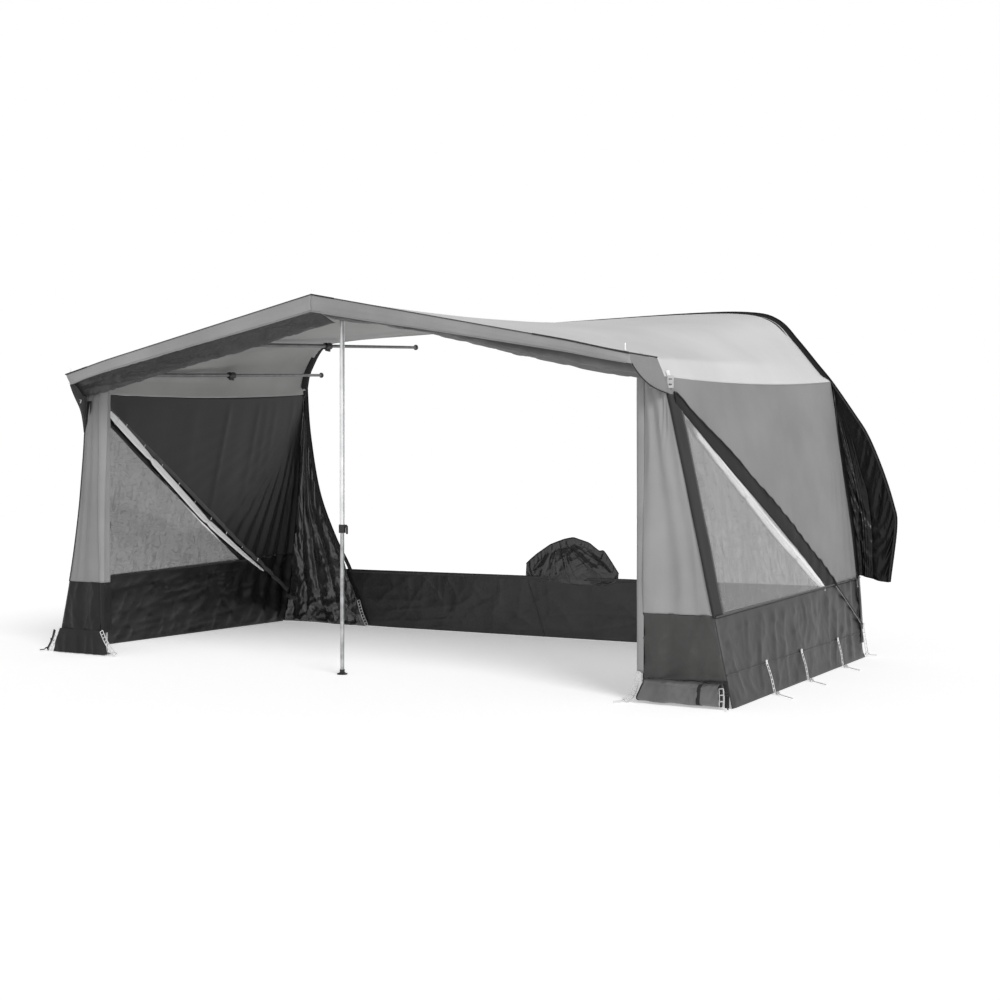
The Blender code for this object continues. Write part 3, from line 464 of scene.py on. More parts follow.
finishes = {key: wovenMaterial("polyester_" + key, spec) for key, spec in clothSpecs.items()}
finishes |= {
    "film": filmMaterial(),
    "steel": steelMaterial("zinc_steel_outer_tube", "#F2F2F3", "#DADBDC", 0.3),
    "steelInner": steelMaterial("zinc_steel_inner_tube", "#C9CACB", "#8F9091", 0.28),
    # painted shade: a darker copy of the steel for the roof poles and beams, standing in for the shade under
    # the roof
    "steelPaintedShade": steelMaterial("zinc_steel_roof_pole", "#8A8B8C", "#6E6F70", 0.45),
    "nylonBlack": mouldedMaterial("polyamide_black", "#161616", "#222222", 0.45),
    "nylonWhite": mouldedMaterial("polyamide_white", "#D8D8D8", "#EFEFEF", 0.4),
    "piping": mouldedMaterial("pvc_piping_black", "#101010", "#191919", 0.5),
    "beading": mouldedMaterial("pvc_beading_matt", "#040404", "#080808", 0.75, 0.2),
    "acetal": mouldedMaterial("acetal_grey", "#A9A9A9", "#C4C4C4", 0.35),
    "thread": mouldedMaterial("polyester_thread", "#8E8E8E", "#A2A2A2", 0.7),
}
stage("materials made")


# Mesh building

def gridMesh(name, grid, flip=False, keep=None):
    # a mesh through a grid of design points, with a UV map in metres of cloth
    rows, columns = grid.shape[:2]
    i, j = np.meshgrid(np.arange(rows - 1), np.arange(columns - 1), indexing="ij")
    near = i * columns + j
    faces = np.stack([near, near + 1, near + columns + 1, near + columns], -1)
    faces = faces[keep] if keep is not None else faces.reshape(-1, 4)
    if flip:
        faces = faces[:, ::-1]
    across = np.linalg.norm(np.diff(grid, axis=1), axis=2)
    along = np.linalg.norm(np.diff(grid, axis=0), axis=2)
    u = np.concatenate([np.zeros((rows, 1)), np.cumsum(across, axis=1)], axis=1)
    v = np.concatenate([np.zeros((1, columns)), np.cumsum(along, axis=0)], axis=0)
    uv = np.stack([u.ravel(), v.ravel()], -1)
    used, index = np.unique(faces, return_inverse=True)
    points = (grid + site).reshape(-1, 3)[used]
    return plainMesh(name, points, index.reshape(-1, 4), uv[used])


def plainMesh(name, points, faces, uv=None):
    mesh = bpy.data.meshes.new(name)
    mesh.from_pydata(np.asarray(points).tolist(), [], [[int(n) for n in face] for face in faces])
    if uv is not None:
        layer = mesh.uv_layers.new(name="cloth")
        index = np.zeros(len(mesh.loops), np.int32)
        mesh.loops.foreach_get("vertex_index", index)
        layer.data.foreach_set("uv", uv[index].astype(np.float32).ravel())
    mesh.shade_smooth()
    return mesh


def addPiece(name, mesh, materials):
    obj = bpy.data.objects.new(name, mesh)
    bpy.context.scene.collection.objects.link(obj)
    for key in materials:
        mesh.materials.append(finishes[key])
    return obj


def bakeModifiers(obj):
    # turns the evaluated object into a plain mesh and removes its modifiers
    graph = bpy.context.evaluated_depsgraph_get()
    mesh = bpy.data.meshes.new_from_object(obj.evaluated_get(graph), depsgraph=graph)
    old = obj.data
    obj.modifiers.clear()
    obj.data = mesh
    mesh.name = obj.name
    bpy.data.meshes.remove(old)
    return obj


def thicken(obj, thick=0.0012, inner=0):
    # cloth thickness, grown inwards; inner is the material slot of the inner face
    wall = obj.modifiers.new("thickness", "SOLIDIFY")
    wall.thickness = thick
    wall.offset = -1
    wall.material_offset = inner
    return bakeModifiers(obj)


def settle(obj, pins, grow, frames, bend, cap):
    # lets cloth cut a little too large hang from its pinned edges; no point moves further than the cap
    group = obj.vertex_groups.new(name="pins")
    group.add([int(n) for n in np.flatnonzero(pins)], 1.0, "REPLACE")
    before = np.array([vertex.co[:] for vertex in obj.data.vertices])
    cloth = obj.modifiers.new("cloth", "CLOTH")
    values = {"quality": 6, "mass": 0.2, "tension_stiffness": 12, "compression_stiffness": 12,
              "shear_stiffness": 4, "bending_stiffness": bend, "air_damping": 2, "shrink_min": -grow,
              "shrink_max": -grow, "vertex_group_mass": "pins"}
    for key, value in values.items():
        setattr(cloth.settings, key, value)
    cloth.collision_settings.use_collision = False
    cloth.collision_settings.use_self_collision = False
    cloth.point_cache.frame_start = 1
    cloth.point_cache.frame_end = frames
    scene = bpy.context.scene
    for frameNumber in range(1, frames + 1):
        scene.frame_set(frameNumber)
    bakeModifiers(obj)
    scene.frame_set(1)
    move = np.array([vertex.co[:] for vertex in obj.data.vertices]) - before
    size = np.linalg.norm(move, axis=1, keepdims=True)
    move = move * np.minimum(1, cap / np.maximum(size, 1e-9))
    obj.data.vertices.foreach_set("co", (before + move).ravel())
    obj.data.update()
    obj.data.shade_smooth()


def gridNormals(grid):
    normal = np.cross(np.gradient(grid, axis=1), np.gradient(grid, axis=0))
    return normal / np.maximum(np.linalg.norm(normal, axis=2, keepdims=True), 1e-12)


def attach(obj, nodes):
    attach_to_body(obj, "canopy")
    if nodes:
        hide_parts(*nodes)
    return obj


def sheetPiece(name, grid, materials, towards, nodes, thick=0.0012, keep=None,
               pins=None, settling=None):
    # one sheet of cloth: its outer face looks towards "towards", its inner face has the second material
    grown = 1 + (settling["grow"] if settling else 0)
    width = float(np.linalg.norm(np.diff(grid, axis=1), axis=2).sum(axis=1).max())
    length = float(np.linalg.norm(np.diff(grid, axis=0), axis=2).sum(axis=0).max())
    width, length = width * grown, length * grown
    facing = np.sum(gridNormals(grid) * np.array(towards)) > 0
    obj = addPiece(name, gridMesh(name, grid, not facing, keep), materials)
    if settling:
        settle(obj, pins.ravel(), **settling)
    thicken(obj, thick, 1 if len(materials) > 1 else 0)
    attach(obj, nodes)
    # the share of its rectangle that a sheet may be declared to fill
    return obj


def roundProfile(radius, count=8):
    turns = [math.tau * k / count for k in range(count)]
    return [(radius * math.cos(turn), radius * math.sin(turn)) for turn in turns]


def flatProfile(width, thick):
    # a strip with its four edges chamfered
    w, t, r = width / 2, thick / 2, thick * 0.3
    half = [(-w + r, -t), (w - r, -t), (w, -t + r), (w, t - r)]
    return half + [(-x, -y) for x, y in half]


def sweepMesh(path, profile, facing=(0, 0, 1)):
    # a closed profile swept along a path; the profile's second axis leans towards "facing"
    path = np.asarray(path, float)
    tangent = np.gradient(path, axis=0)
    tangent /= np.maximum(np.linalg.norm(tangent, axis=1, keepdims=True), 1e-12)
    across = np.cross(tangent, np.broadcast_to(np.asarray(facing, float), path.shape))
    across /= np.maximum(np.linalg.norm(across, axis=1, keepdims=True), 1e-12)
    upward = np.cross(across, tangent)
    profile = np.asarray(profile)
    rings = path[:, None] + across[:, None] * profile[None, :, :1] + upward[:, None] * profile[None, :, 1:]
    count, around = len(path), len(profile)
    faces = []
    for i in range(count - 1):
        a, b = i * around, (i + 1) * around
        faces += [(a + k, a + (k + 1) % around, b + (k + 1) % around, b + k) for k in range(around)]
    faces += [tuple(range(around))[::-1], tuple(range((count - 1) * around, count * around))]
    length = np.concatenate([[0], np.cumsum(np.linalg.norm(np.diff(path, axis=0), axis=1))])
    girth = np.linspace(0, 1, around) * np.abs(profile).max() * 4
    uv = np.stack(np.broadcast_arrays(girth[None, :], length[:, None]), -1).reshape(-1, 2)
    return closedMesh((rings + site).reshape(-1, 3), faces, uv)


def closedMesh(points, faces, uv=None):
    mesh = plainMesh("closed", points, faces, uv)
    shape = bmesh.new()
    shape.from_mesh(mesh)
    bmesh.ops.remove_doubles(shape, verts=shape.verts, dist=1e-6)
    bmesh.ops.recalc_face_normals(shape, faces=shape.faces)
    shape.to_mesh(mesh)
    shape.free()
    mesh.shade_smooth()
    mesh.set_sharp_from_angle(angle=math.radians(45))
    return mesh


def joinPiece(name, parts, nodes=()):
    # one piece from several closed meshes, each with its own finish
    points, faces, uvs, slots, keys = [], [], [], [], []
    for mesh, key in parts:
        if key not in keys:
            keys.append(key)
        start = len(points)
        points += [(x, y, max(z, 0.0005)) for x, y, z in (vertex.co for vertex in mesh.vertices)]
        faces += [[start + n for n in polygon.vertices] for polygon in mesh.polygons]
        slots += [keys.index(key)] * len(mesh.polygons)
        layer = mesh.uv_layers.get("cloth")
        uvs += [item.uv[:] for item in layer.data] if layer else [(0, 0)] * len(mesh.loops)
    mesh = plainMesh(name, points, faces)
    layer = mesh.uv_layers.new(name="cloth")
    layer.data.foreach_set("uv", np.array(uvs, np.float32).ravel())
    mesh.polygons.foreach_set("material_index", slots)
    mesh.set_sharp_from_angle(angle=math.radians(45))
    return attach(addPiece(name, mesh, keys), nodes)


def turnedMesh(profile, axis="z", steps=20):
    # a mesh spun about one axis from (radius, height) points, closed where the radius is 0
    points, faces = [], []
    for k in range(steps):
        c, s = math.cos(math.tau * k / steps), math.sin(math.tau * k / steps)
        points += [(r * c, r * s, h) if axis == "z" else (h, r * c, r * s) for r, h in profile]
    count = len(profile)
    for k in range(steps):
        a, b = k * count, (k + 1) % steps * count
        faces += [(a + j, b + j, b + j + 1, a + j + 1) for j in range(count - 1)]
    return closedMesh(points, faces)


def blockMesh(name, size, bevel, holes=()):
    # a block with rounded edges and slots cut through it along Y: (x, z, width, height)
    shape = bmesh.new()
    bmesh.ops.create_cube(shape, size=1)
    bmesh.ops.scale(shape, vec=size, verts=shape.verts)
    bmesh.ops.bevel(shape, geom=shape.edges[:], offset=bevel, segments=2, affect="EDGES")
    mesh = bpy.data.meshes.new(name)
    shape.to_mesh(mesh)
    shape.free()
    if holes:
        block = bpy.data.objects.new(name, mesh)
        bpy.context.scene.collection.objects.link(block)
        cutters = []
        for x, z, width, height in holes:
            slot = blockMesh("slot", (width, size[1] * 3, height), bevel * 0.5)
            cutter = bpy.data.objects.new("slot", slot)
            cutter.location = (x, 0, z)
            bpy.context.scene.collection.objects.link(cutter)
            cutters.append(cutter)
            cutting = block.modifiers.new("slot", "BOOLEAN")
            cutting.operation = "DIFFERENCE"
            cutting.object = cutter
        bpy.context.view_layer.update()
        bakeModifiers(block)
        mesh = block.data
        for used in [block, *cutters]:
            bpy.data.objects.remove(used)
    mesh.shade_smooth()
    mesh.set_sharp_from_angle(angle=math.radians(50))
    return mesh


def moved(mesh, place, turn=Matrix()):
    # puts the mesh of a small part at a design point
    mesh.transform(Matrix.Translation(Vector(np.add(place, site))) @ turn)
    return mesh


def turnTo(xAxis, zAxis):
    # a turn whose X and Z follow two directions
    x = Vector(xAxis).normalized()
    y = Vector(zAxis).cross(x).normalized()
    return Matrix((x, y, x.cross(y))).transposed().to_4x4()


# Repeated small parts along a line, placed by one node tree

def repeatTree():
    tree = bpy.data.node_groups.new("repeat_along_line", "GeometryNodeTree")
    inputs = {"Line": "Geometry", "Part": "Object", "Count": "Int", "Facing": "Vector", "Uneven": "Float",
              "Finish": "Material"}
    for name, kind in inputs.items():
        tree.interface.new_socket(name, in_out="INPUT", socket_type="NodeSocket" + kind)
    tree.interface.new_socket("Parts", in_out="OUTPUT", socket_type="NodeSocketGeometry")
    given = tree.nodes.new("NodeGroupInput").outputs
    curve = addNode(tree, "GeometryNodeMeshToCurve", Mesh=given["Line"])
    even = addNode(tree, "GeometryNodeResampleCurve", {"mode": "COUNT"},
                   {"Curve": curve.outputs["Curve"], "Count": given["Count"]})
    tangent = addNode(tree, "GeometryNodeInputTangent")
    along = addNode(tree, "FunctionNodeAlignRotationToVector", {"axis": "X"},
                    Vector=tangent.outputs["Tangent"])
    facing = addNode(tree, "FunctionNodeAlignRotationToVector", {"axis": "Z", "pivot_axis": "X"},
                     {"Rotation": along.outputs["Rotation"], "Vector": given["Facing"]})
    part = addNode(tree, "GeometryNodeObjectInfo", Object=given["Part"])
    least = addNode(tree, "ShaderNodeMath", {"operation": "SUBTRACT"}, {"i0": 1.0, "i1": given["Uneven"]})
    most = addNode(tree, "ShaderNodeMath", {"operation": "ADD"}, {"i0": 1.0, "i1": given["Uneven"]})
    size = addNode(tree, "FunctionNodeRandomValue", {"data_type": "FLOAT"},
                   {"i2": least.outputs["Value"], "i3": most.outputs["Value"], "Seed": 7})
    put = addNode(tree, "GeometryNodeInstanceOnPoints", None,
                  {"Points": even.outputs["Curve"], "Instance": part.outputs["Geometry"],
                   "Rotation": facing.outputs["Rotation"], "Scale": size.outputs[1]})
    real = addNode(tree, "GeometryNodeRealizeInstances", Geometry=put.outputs["Instances"])
    done = addNode(tree, "GeometryNodeSetMaterial", Geometry=real.outputs["Geometry"],
                   Material=given["Finish"])
    addNode(tree, "NodeGroupOutput", Parts=done.outputs["Geometry"])
    return tree


repeatNodes = repeatTree()


def repeatMesh(path, count, part, facing, material, uneven=0.0):
    # copies of a small mesh along a line of design points
    points = np.asarray(path) + site
    mesh = bpy.data.meshes.new("line")
    mesh.from_pydata(points.tolist(), [(k, k + 1) for k in range(len(points) - 1)], [])
    obj = bpy.data.objects.new("line", mesh)
    sample = bpy.data.objects.new("sample", part)
    for item in (obj, sample):
        bpy.context.scene.collection.objects.link(item)
    nodes = obj.modifiers.new("repeat", "NODES")
    nodes.node_group = repeatNodes
    values = {"Part": sample, "Count": int(count), "Facing": Vector(facing), "Uneven": uneven,
              "Finish": finishes[material]}
    for item in repeatNodes.interface.items_tree:
        if item.name in values:
            nodes[item.identifier] = values[item.name]
    bpy.context.view_layer.update()
    bakeModifiers(obj)
    made = obj.data
    bpy.data.objects.remove(sample)
    bpy.data.objects.remove(obj)
    return made


stitchPart = turnedMesh([(0, -0.0035), (0.0006, -0.0028), (0.0007, 0.0028), (0, 0.0035)], "x", 5)
togglePart = turnedMesh([(0, -0.011), (0.003, -0.0105), (0.0036, -0.008), (0.0026, -0.003), (0.0026, 0.003),
                         (0.0036, 0.008), (0.003, 0.0105), (0, 0.011)], "z", 8)
toothPart = blockMesh("tooth", (0.0022, 0.006, 0.0018), 0.0004)
eyeletPart = turnedMesh([(0.0045, -0.001), (0.009, -0.0008), (0.0092, 0), (0.009, 0.0008), (0.0045, 0.001),
                         (0.0042, 0), (0.0045, -0.001)], "z", 16)
stage("tools ready")


# Roof: one sheet from wall seam to wall seam over the ridge, narrower in front of the legs

roofCut = {"step": 0.028, "tension": 0.0022, "acrossSteps": 62, "sideSteps": 9, "belly": 0.022,
           "railDip": 0.022, "dipFrom": 0.21, "dipRun": 0.15, "slackOut": 0.03, "slackDown": (0.010, 0.018)}


def creaseShift(w):
    # how far the loose cloth carries the crease outwards and down from the taut line
    fade, start = 1 - smoothStep((w - 0.4) / 0.6), smoothStep(w / 0.09)
    least, more = roofCut["slackDown"]
    return roofCut["slackOut"] * start * fade, (least + more * start) * fade


def roofSection(side, rowsY):
    # from the ridge over the crease down to the wall seam
    w = shareAt(rowsY)[:, None]
    u = np.linspace(0, 1, roofCut["acrossSteps"])
    rear = railRun(side, 0, creaseStep, u)
    x = mix((u * cut["eaveHalf"])[None, :], rear[:, 0][None, :], w)
    z = mix(gable(side, u * cut["eaveHalf"])[None, :], rear[:, 1][None, :], w)
    z = z - (cut["roofSag"] * w + roofCut["belly"]) * (1 - u ** 2)[None, :] * np.sin(math.pi * w)
    out, down = creaseShift(w)
    bend = smoothStep((u - 0.8) / 0.2)[None, :]
    x, z = x + out * bend, z - down * bend
    v = np.linspace(0, 1, roofCut["sideSteps"])[1:]
    rearSide = railRun(side, creaseStep, seamStep, v)
    sideX = mix((cut["eaveHalf"] + cut["sideFlare"] * v)[None, :], rearSide[:, 0][None, :], w) + out * (1 - v)
    sideZ = mix((cut["eaveHeight"][side] - cut["sideDrop"] * v)[None, :], rearSide[:, 1][None, :], w)
    sideZ = sideZ - down * (1 - v) - cut["seamSag"] * 4 * w * (1 - w) * v[None, :]
    x, z = np.concatenate([x, sideX], 1), np.concatenate([z, sideZ], 1)
    # along the rail the cloth dips below the beading's strip
    outline = np.concatenate([rear, rearSide])
    lean = np.gradient(outline, axis=0)
    lean /= np.linalg.norm(lean, axis=1, keepdims=True)
    dip = roofCut["railDip"] * smoothStep((rowsY + roofCut["dipFrom"]) / roofCut["dipRun"])[:, None]
    dip = dip * np.concatenate([np.ones(len(u)), 1 - smoothStep((v - 0.5) / 0.5)])[None, :]
    x, z = x + dip * lean[:, 1], z - dip * lean[:, 0]
    y = np.broadcast_to(rowsY[:, None], x.shape).copy()
    # tension ripples that fan from the front corner, and slack between the poles
    reach = np.hypot(x - cut["eaveHalf"], y + cut["canopyReach"])
    turn = np.arctan2(y + cut["canopyReach"], cut["eaveHalf"] + 0.3 - x)
    z += roofCut["tension"] * np.sin(turn * 26 + reach) * np.exp(-reach / 1.0) * smoothStep(reach / 0.25)
    bay = np.abs(np.sin(math.pi * x / 1.1)) * np.sin(math.pi * np.clip(w, 0, 1))
    z -= (0.006 * bay + 0.0015 * folds(x, y, 78, 0.22, 1.0, 19, 2)) * smoothStep((cut["eaveHalf"] - x) / 0.3)
    grid = np.stack([sides[side] * x, y, z], -1)
    # the crease rounds off towards the rail
    soft = grid.copy()
    relax(soft.swapaxes(0, 1), 12)
    near = np.exp(-((np.arange(x.shape[1]) - roofCut["acrossSteps"] + 1) / 4.0) ** 2)[None, :, None]
    round_ = smoothStep((w - 0.45) / 0.4) * (1 - smoothStep((w - 0.86) / 0.1))
    return mix(grid, soft, near * (0.04 + 0.96 * round_[:, :, None]))


def buildRoof():
    front = spread(-cut["canopyReach"], -cut["legPlane"], roofCut["step"])
    rest = spread(-cut["legPlane"], -beadDepth - 0.002, roofCut["step"])[1:]
    rowsY = np.concatenate([front, rest])
    left, right = roofSection("left", rowsY), roofSection("right", rowsY)
    grid = np.concatenate([left[:, ::-1], right[:, 1:]], 1)
    keep = np.ones((grid.shape[0] - 1, grid.shape[1] - 1), bool)
    edge = roofCut["sideSteps"] - 1
    keep[:len(front) - 1, :edge] = False
    keep[:len(front) - 1, -edge:] = False
    nodes = [name + side for name in ("roof_", "roof_side_") for side in sides]
    sheetPiece("roof_cloth", grid, ["roofOuter", "roofInner"], (0, 0, 1), nodes, keep=keep)


# The rail beading: a strip sewn under the cloth's rear edge that stands up to the bead in the rail

beadCut = {"overlap": 0.065, "radius": 0.0055, "count": 120, "thick": 0.0016}


def railLine():
    # the outline from the left foot over the ridge to the right foot, its normals, and how far it is roof
    runs, seams = {}, {}
    for side in sides:
        runs[side] = railRun(side, 0, len(railShares[side]) - 1, np.linspace(0, 1, beadCut["count"]))
        crease, seam = railRun(side, 0, creaseStep, [1])[0], railRun(side, 0, seamStep, [1])[0]
        seams[side] = 1 - smoothStep((crease[1] - runs[side][:, 1]) / (crease[1] - seam[1]) * 2 - 1)
    line = np.concatenate([runs["left"][::-1] * np.array([-1, 1]), runs["right"][1:]])
    upper = np.concatenate([seams["left"][::-1], seams["right"][1:]])
    tangent = np.gradient(line, axis=0)
    tangent /= np.linalg.norm(tangent, axis=1, keepdims=True)
    return line, np.stack([-tangent[:, 1], tangent[:, 0]], -1), upper


def buildBeading():
    line, normal, upper = railLine()
    dip = roofCut["railDip"] * upper
    rows = [(-beadDepth - beadCut["overlap"] * upper, -dip - 0.0035), (-beadDepth + 0 * dip, -dip - 0.003),
            (-0.022 + 0 * dip, -0.4 * dip - 0.001), (-0.004 + 0 * dip, 0 * dip)]
    grid = np.array([np.stack([line[:, 0] + normal[:, 0] * n, y, line[:, 1] + normal[:, 1] * n], -1)
                     for y, n in rows])
    strip = addPiece("strip", gridMesh("strip", grid), ["beading"])
    thicken(strip, beadCut["thick"])
    mesh = strip.data
    bpy.data.objects.remove(strip)
    bead = sweepMesh(np.stack([line[:, 0], 0 * line[:, 0] - 0.002, line[:, 1]], -1),
                     roundProfile(beadCut["radius"]), (0, -1, 0))
    joinPiece("rail_beading_strip", [(mesh, "beading"), (bead, "beading")],
              ["rail_beading"])


buildRoof()
buildBeading()
stage("roof made")


# Canopy: fascia, soffit, ends, piping along the front edge

canopyCut = {"step": 0.014, "billow": 0.007, "rumple": 0.012, "stitches": 220,
             "slant": {"left": 0.045, "right": -0.01}, "hem": (0.014, 0.0012), "kneeOut": 0.012,
             "endOut": {"left": -0.02, "right": 0.01}, "endBow": {"left": 0.12, "right": -0.034},
             # where the front edge's black cord ends by the peak and starts again by the corner, as shares of
             # the edge; between them the cord is grey
             "pipedTo": {"left": 0, "right": 0.085}, "pipedFrom": {"left": 0.9, "right": 0.72},
             "radii": {"peak": 0.0036, "middle": 0.0022, "corner": 0.0042, "low": 0.0035}}
soffitShape = {
    # share of the way back, drop as a share of the soffit's depth below the fascia, for each side
    "left": [(0, 0), (0.2, -0.2), (0.55, 0.35), (0.8, 0.95), (0.93, 1.1), (1, 0.95)],
    "right": [(0, 0), (0.28, -0.35), (0.6, 0.63), (0.82, 0.95), (0.92, 1.04), (1, 0.87)],
}


soffitDepth = {
    # how far the soffit's inner edge hangs below the gable's line, at shares of the way out from the ridge
    "left": [(0, 0.136), (1, 0.136)],
    "right": [(0, 0.122), (0.16, 0.104), (0.40, 0.106), (0.56, 0.127), (0.75, 0.144), (0.86, 0.146),
              (1, 0.128)],
}


def fasciaDepth(side, u):
    return mix(cut["fasciaPeak"], cut["fasciaTip"][side], u)


def soffitDrop(side, u):
    shares = np.array(soffitDepth[side])
    return np.interp(u, shares[:, 0], shares[:, 1])


def creaseAt(side, y):
    # the crease's place at this distance from the rail
    rear = railRun(side, 0, creaseStep, [1])[0]
    w = shareAt(y)
    out, down = creaseShift(w)
    return np.array([mix(cut["eaveHalf"], rear[0], w) + out, y,
                     mix(cut["eaveHeight"][side], rear[1], w) - down])


def soffitCorner(side):
    z = gable(side, cut["eaveHalf"]) - 0.125
    return float(wallX(side, -cut["legPlane"], z)), z


def fasciaGrid(side):
    u = spread(0, 1, canopyCut["step"] / cut["eaveHalf"])[None, :]
    v = np.linspace(0, 1, 15)[:, None]
    depth = fasciaDepth(side, u)
    x = u * cut["eaveHalf"] - canopyCut["slant"][side] * v * smoothStep((u - 0.9) / 0.1)
    wave = np.exp(-((v - 0.5 - 0.12 * softNoise(x / 0.8, v * 0, 5)) / 0.1) ** 2)
    billow = np.sin(math.pi * v) * (1 + 0.4 * softNoise(x / 0.4, v * 0.5, 11))
    front = 0.003 + canopyCut["billow"] * (billow + 0.5 * wave)
    front = front + 0.003 * folds(x, v * 0.1, 4, 0.022, 0.7, 25, 3) * np.sin(math.pi * v)
    y = -cut["canopyReach"] - front * (0.2 + 0.8 * smoothStep((1 - u) / 0.03))
    z = gable(side, u * cut["eaveHalf"]) - depth * v + 0.002 * softNoise(x / 0.25, v * 0, 17) * v
    z = z - creaseShift(0.0)[1] * smoothStep((u - 0.8) / 0.2)
    return np.stack([sides[side] * x, y + 0 * x, z + 0 * y], -1)


def soffitGrid(side):
    cornerX, _ = soffitCorner(side)
    u = spread(0, 1, canopyCut["step"] / cut["eaveHalf"])[None, :]
    v = np.linspace(0, 1, 34)[:, None]
    shares = np.array(soffitShape[side])
    back = np.interp(v, np.linspace(0, 1, len(shares)), shares[:, 0])
    drop = np.interp(v, np.linspace(0, 1, len(shares)), shares[:, 1])
    relax(drop, 3)
    x = mix(u * (cut["eaveHalf"] - 0.02), u * (cornerX - 0.006), back)
    y = mix(-cut["canopyReach"] + 0.002, -cut["legPlane"] - 0.004, back) + 0 * u
    start = fasciaDepth(side, u)
    depth = soffitDrop(side, u) - start
    z = gable(side, u * cut["eaveHalf"]) - start - depth * drop
    loose = folds(x, y, 10 * sides[side], 0.045, 0.4, 31, 2)
    loose = loose + 0.7 * folds(x, y, -25 * sides[side], 0.03, 0.2, 37, 3)
    ends = smoothStep(u / 0.06) * smoothStep((1 - u) / 0.04)
    rumple = canopyCut["rumple"] * (1 if side == "right" else 1.3)
    z = z + rumple * (loose - 0.9) * np.sin(math.pi * v) ** 0.6 * ends
    if side == "left":
        # fine drawn folds run slantwise into the loose inner edge
        z = z + 0.006 * (folds(x, y * 2, -14, 0.016, 0.22, 33, 2) - 0.5) * smoothStep((v - 0.5) / 0.3) * ends
    y = y - 0.006 * folds(x, v * 0.25, 3, 0.05, 0.8, 45, 3) * np.sin(math.pi * v) * ends
    return np.stack([sides[side] * x, y, z], -1)


def endGrid(side):
    top, rearTop = creaseAt(side, -cut["canopyReach"]), creaseAt(side, -cut["legPlane"])
    lowX = cut["eaveHalf"] + canopyCut["endOut"][side]
    lowFront = np.array([lowX, -cut["canopyReach"], top[2] - cut["fasciaTip"][side]])
    seamX, seamZ = seamOf(side, shareAt(-cut["legPlane"]))
    seam = np.array([seamX, -cut["legPlane"], seamZ])
    lowRear = np.array([float(wallX(side, -cut["legPlane"], cut["endHeight"][side])), -cut["legPlane"],
                        cut["endHeight"][side]])
    s = np.linspace(0, 1, 26)[None, :, None]
    t = np.linspace(0, 1, 22)[:, None, None]
    kneeFront = mix(top, lowFront, 0.45) + np.array([canopyCut["kneeOut"], 0, 0])
    high, knee, low = mix(top, rearTop, s), mix(kneeFront, seam, s), mix(lowFront, lowRear, s)
    # the lower edge bows up on the left, and sags on the right
    curve = np.sin(math.pi * s ** 0.8) if side == "right" else s * (1 - s ** 8)
    low = low + np.array([0, 0, 1]) * (canopyCut["endBow"][side] * curve)
    upper = mix(high, knee, np.clip(t / 0.45, 0, 1))
    lower = mix(knee, low, np.clip((t - 0.45) / 0.55, 0, 1))
    grid = np.where(t < 0.45, upper, lower)
    relax(grid, 3)
    push = 0.005 * (folds(grid[..., 1], grid[..., 2], 60, 0.05, 0.3, 49, 2) - 0.4)
    grid[..., 0] += push * np.sin(math.pi * np.clip(t[..., 0], 0.03, 0.97)) * np.sin(math.pi * s[..., 0])
    # its front edge is sewn to the fascia's end
    edge = fasciaGrid(side)[:, -1] * np.array([sides[side], 1, 1])
    shares = np.linspace(0, 1, len(edge))
    sewn = np.stack([np.interp(t[:, 0, 0], shares, edge[:, k]) for k in range(3)], -1)
    grid = grid + (sewn - grid[:, 0])[:, None] * (1 - s) ** 3
    return grid * np.array([sides[side], 1, 1])


def buildCanopy():
    for side, sign in sides.items():
        fascia = fasciaGrid(side)
        sheetPiece("fascia_cloth_" + side, fascia, ["valance", "valanceInner"], (0, -1, 0),
                   ["fascia_" + side])
        # the left soffit gets the darker copy of the cloth, painted shade; the right one gets the cloth with
        # the painted shadow of its recess
        inner = "valanceShade" if side == "left" else "valanceUnder"
        sheetPiece("soffit_cloth_" + side, soffitGrid(side), [inner, "valanceInner"], (0, 0, -1),
                   ["soffit_" + side])
        end = endGrid(side)
        outer = "valanceEnd" if side == "right" else "valanceInner"
        sheetPiece("canopy_end_cloth_" + side, end, [outer, "valanceInner"], (sign, -0.5, 0),
                   ["canopy_end_" + side])
        # piping sewn into the front edge and the end's lower edge, and a stitched hem on the fascia
        edge = fascia[0] + np.array([0, -0.003, 0.001])
        near = int(len(edge) * canopyCut["pipedFrom"][side])
        top = np.concatenate([edge[near:], end[0, 1:] + np.array([0, 0, 0.002])])
        hem = fascia[-1, :-2] + np.array([0, -0.002, 0.005])
        low = end[-1] + np.array([sign * 0.004, 0, 0])
        peak = int(len(edge) * canopyCut["pipedTo"][side])
        cords = [(edge[peak:near + 1], "middle", "strap"), (top, "corner", "piping"), (low, "low", "piping")]
        if peak:
            cords.insert(0, (edge[:peak + 1], "peak", "piping"))
        parts = [(sweepMesh(path, roundProfile(canopyCut["radii"][size])), key) for path, size, key in cords]
        parts.append((sweepMesh(hem, flatProfile(*canopyCut["hem"]), (0, -1, 0)), "valanceHem"))
        parts.append((repeatMesh(hem + np.array([0, -0.0014, 0.004]), canopyCut["stitches"], stitchPart,
                                 (0, -1, 0), "thread"), "thread"))
        joinPiece("canopy_trim_" + side, parts)


buildCanopy()
stage("canopy made")


# Side walls: cloth above the zip line, front band, zip flap and window

wallCut = {"step": 0.02, "rows": 56, "fan": 34, "foldDepth": {"left": 0.03, "right": 0.010},
           "flapFront": 0.06, "flapStep": 0.011, "bandTurn": {"left": 0.055, "right": 0.006},
           "windowRows": 44, "windowHem": (0.010, 0.0014), "flapPiping": 0.005, "zipTape": (0.016, 0.003),
           "zipChain": (0.003, 0.003), "teeth": 180, "slider": (0.012, 0.022, 0.03)}


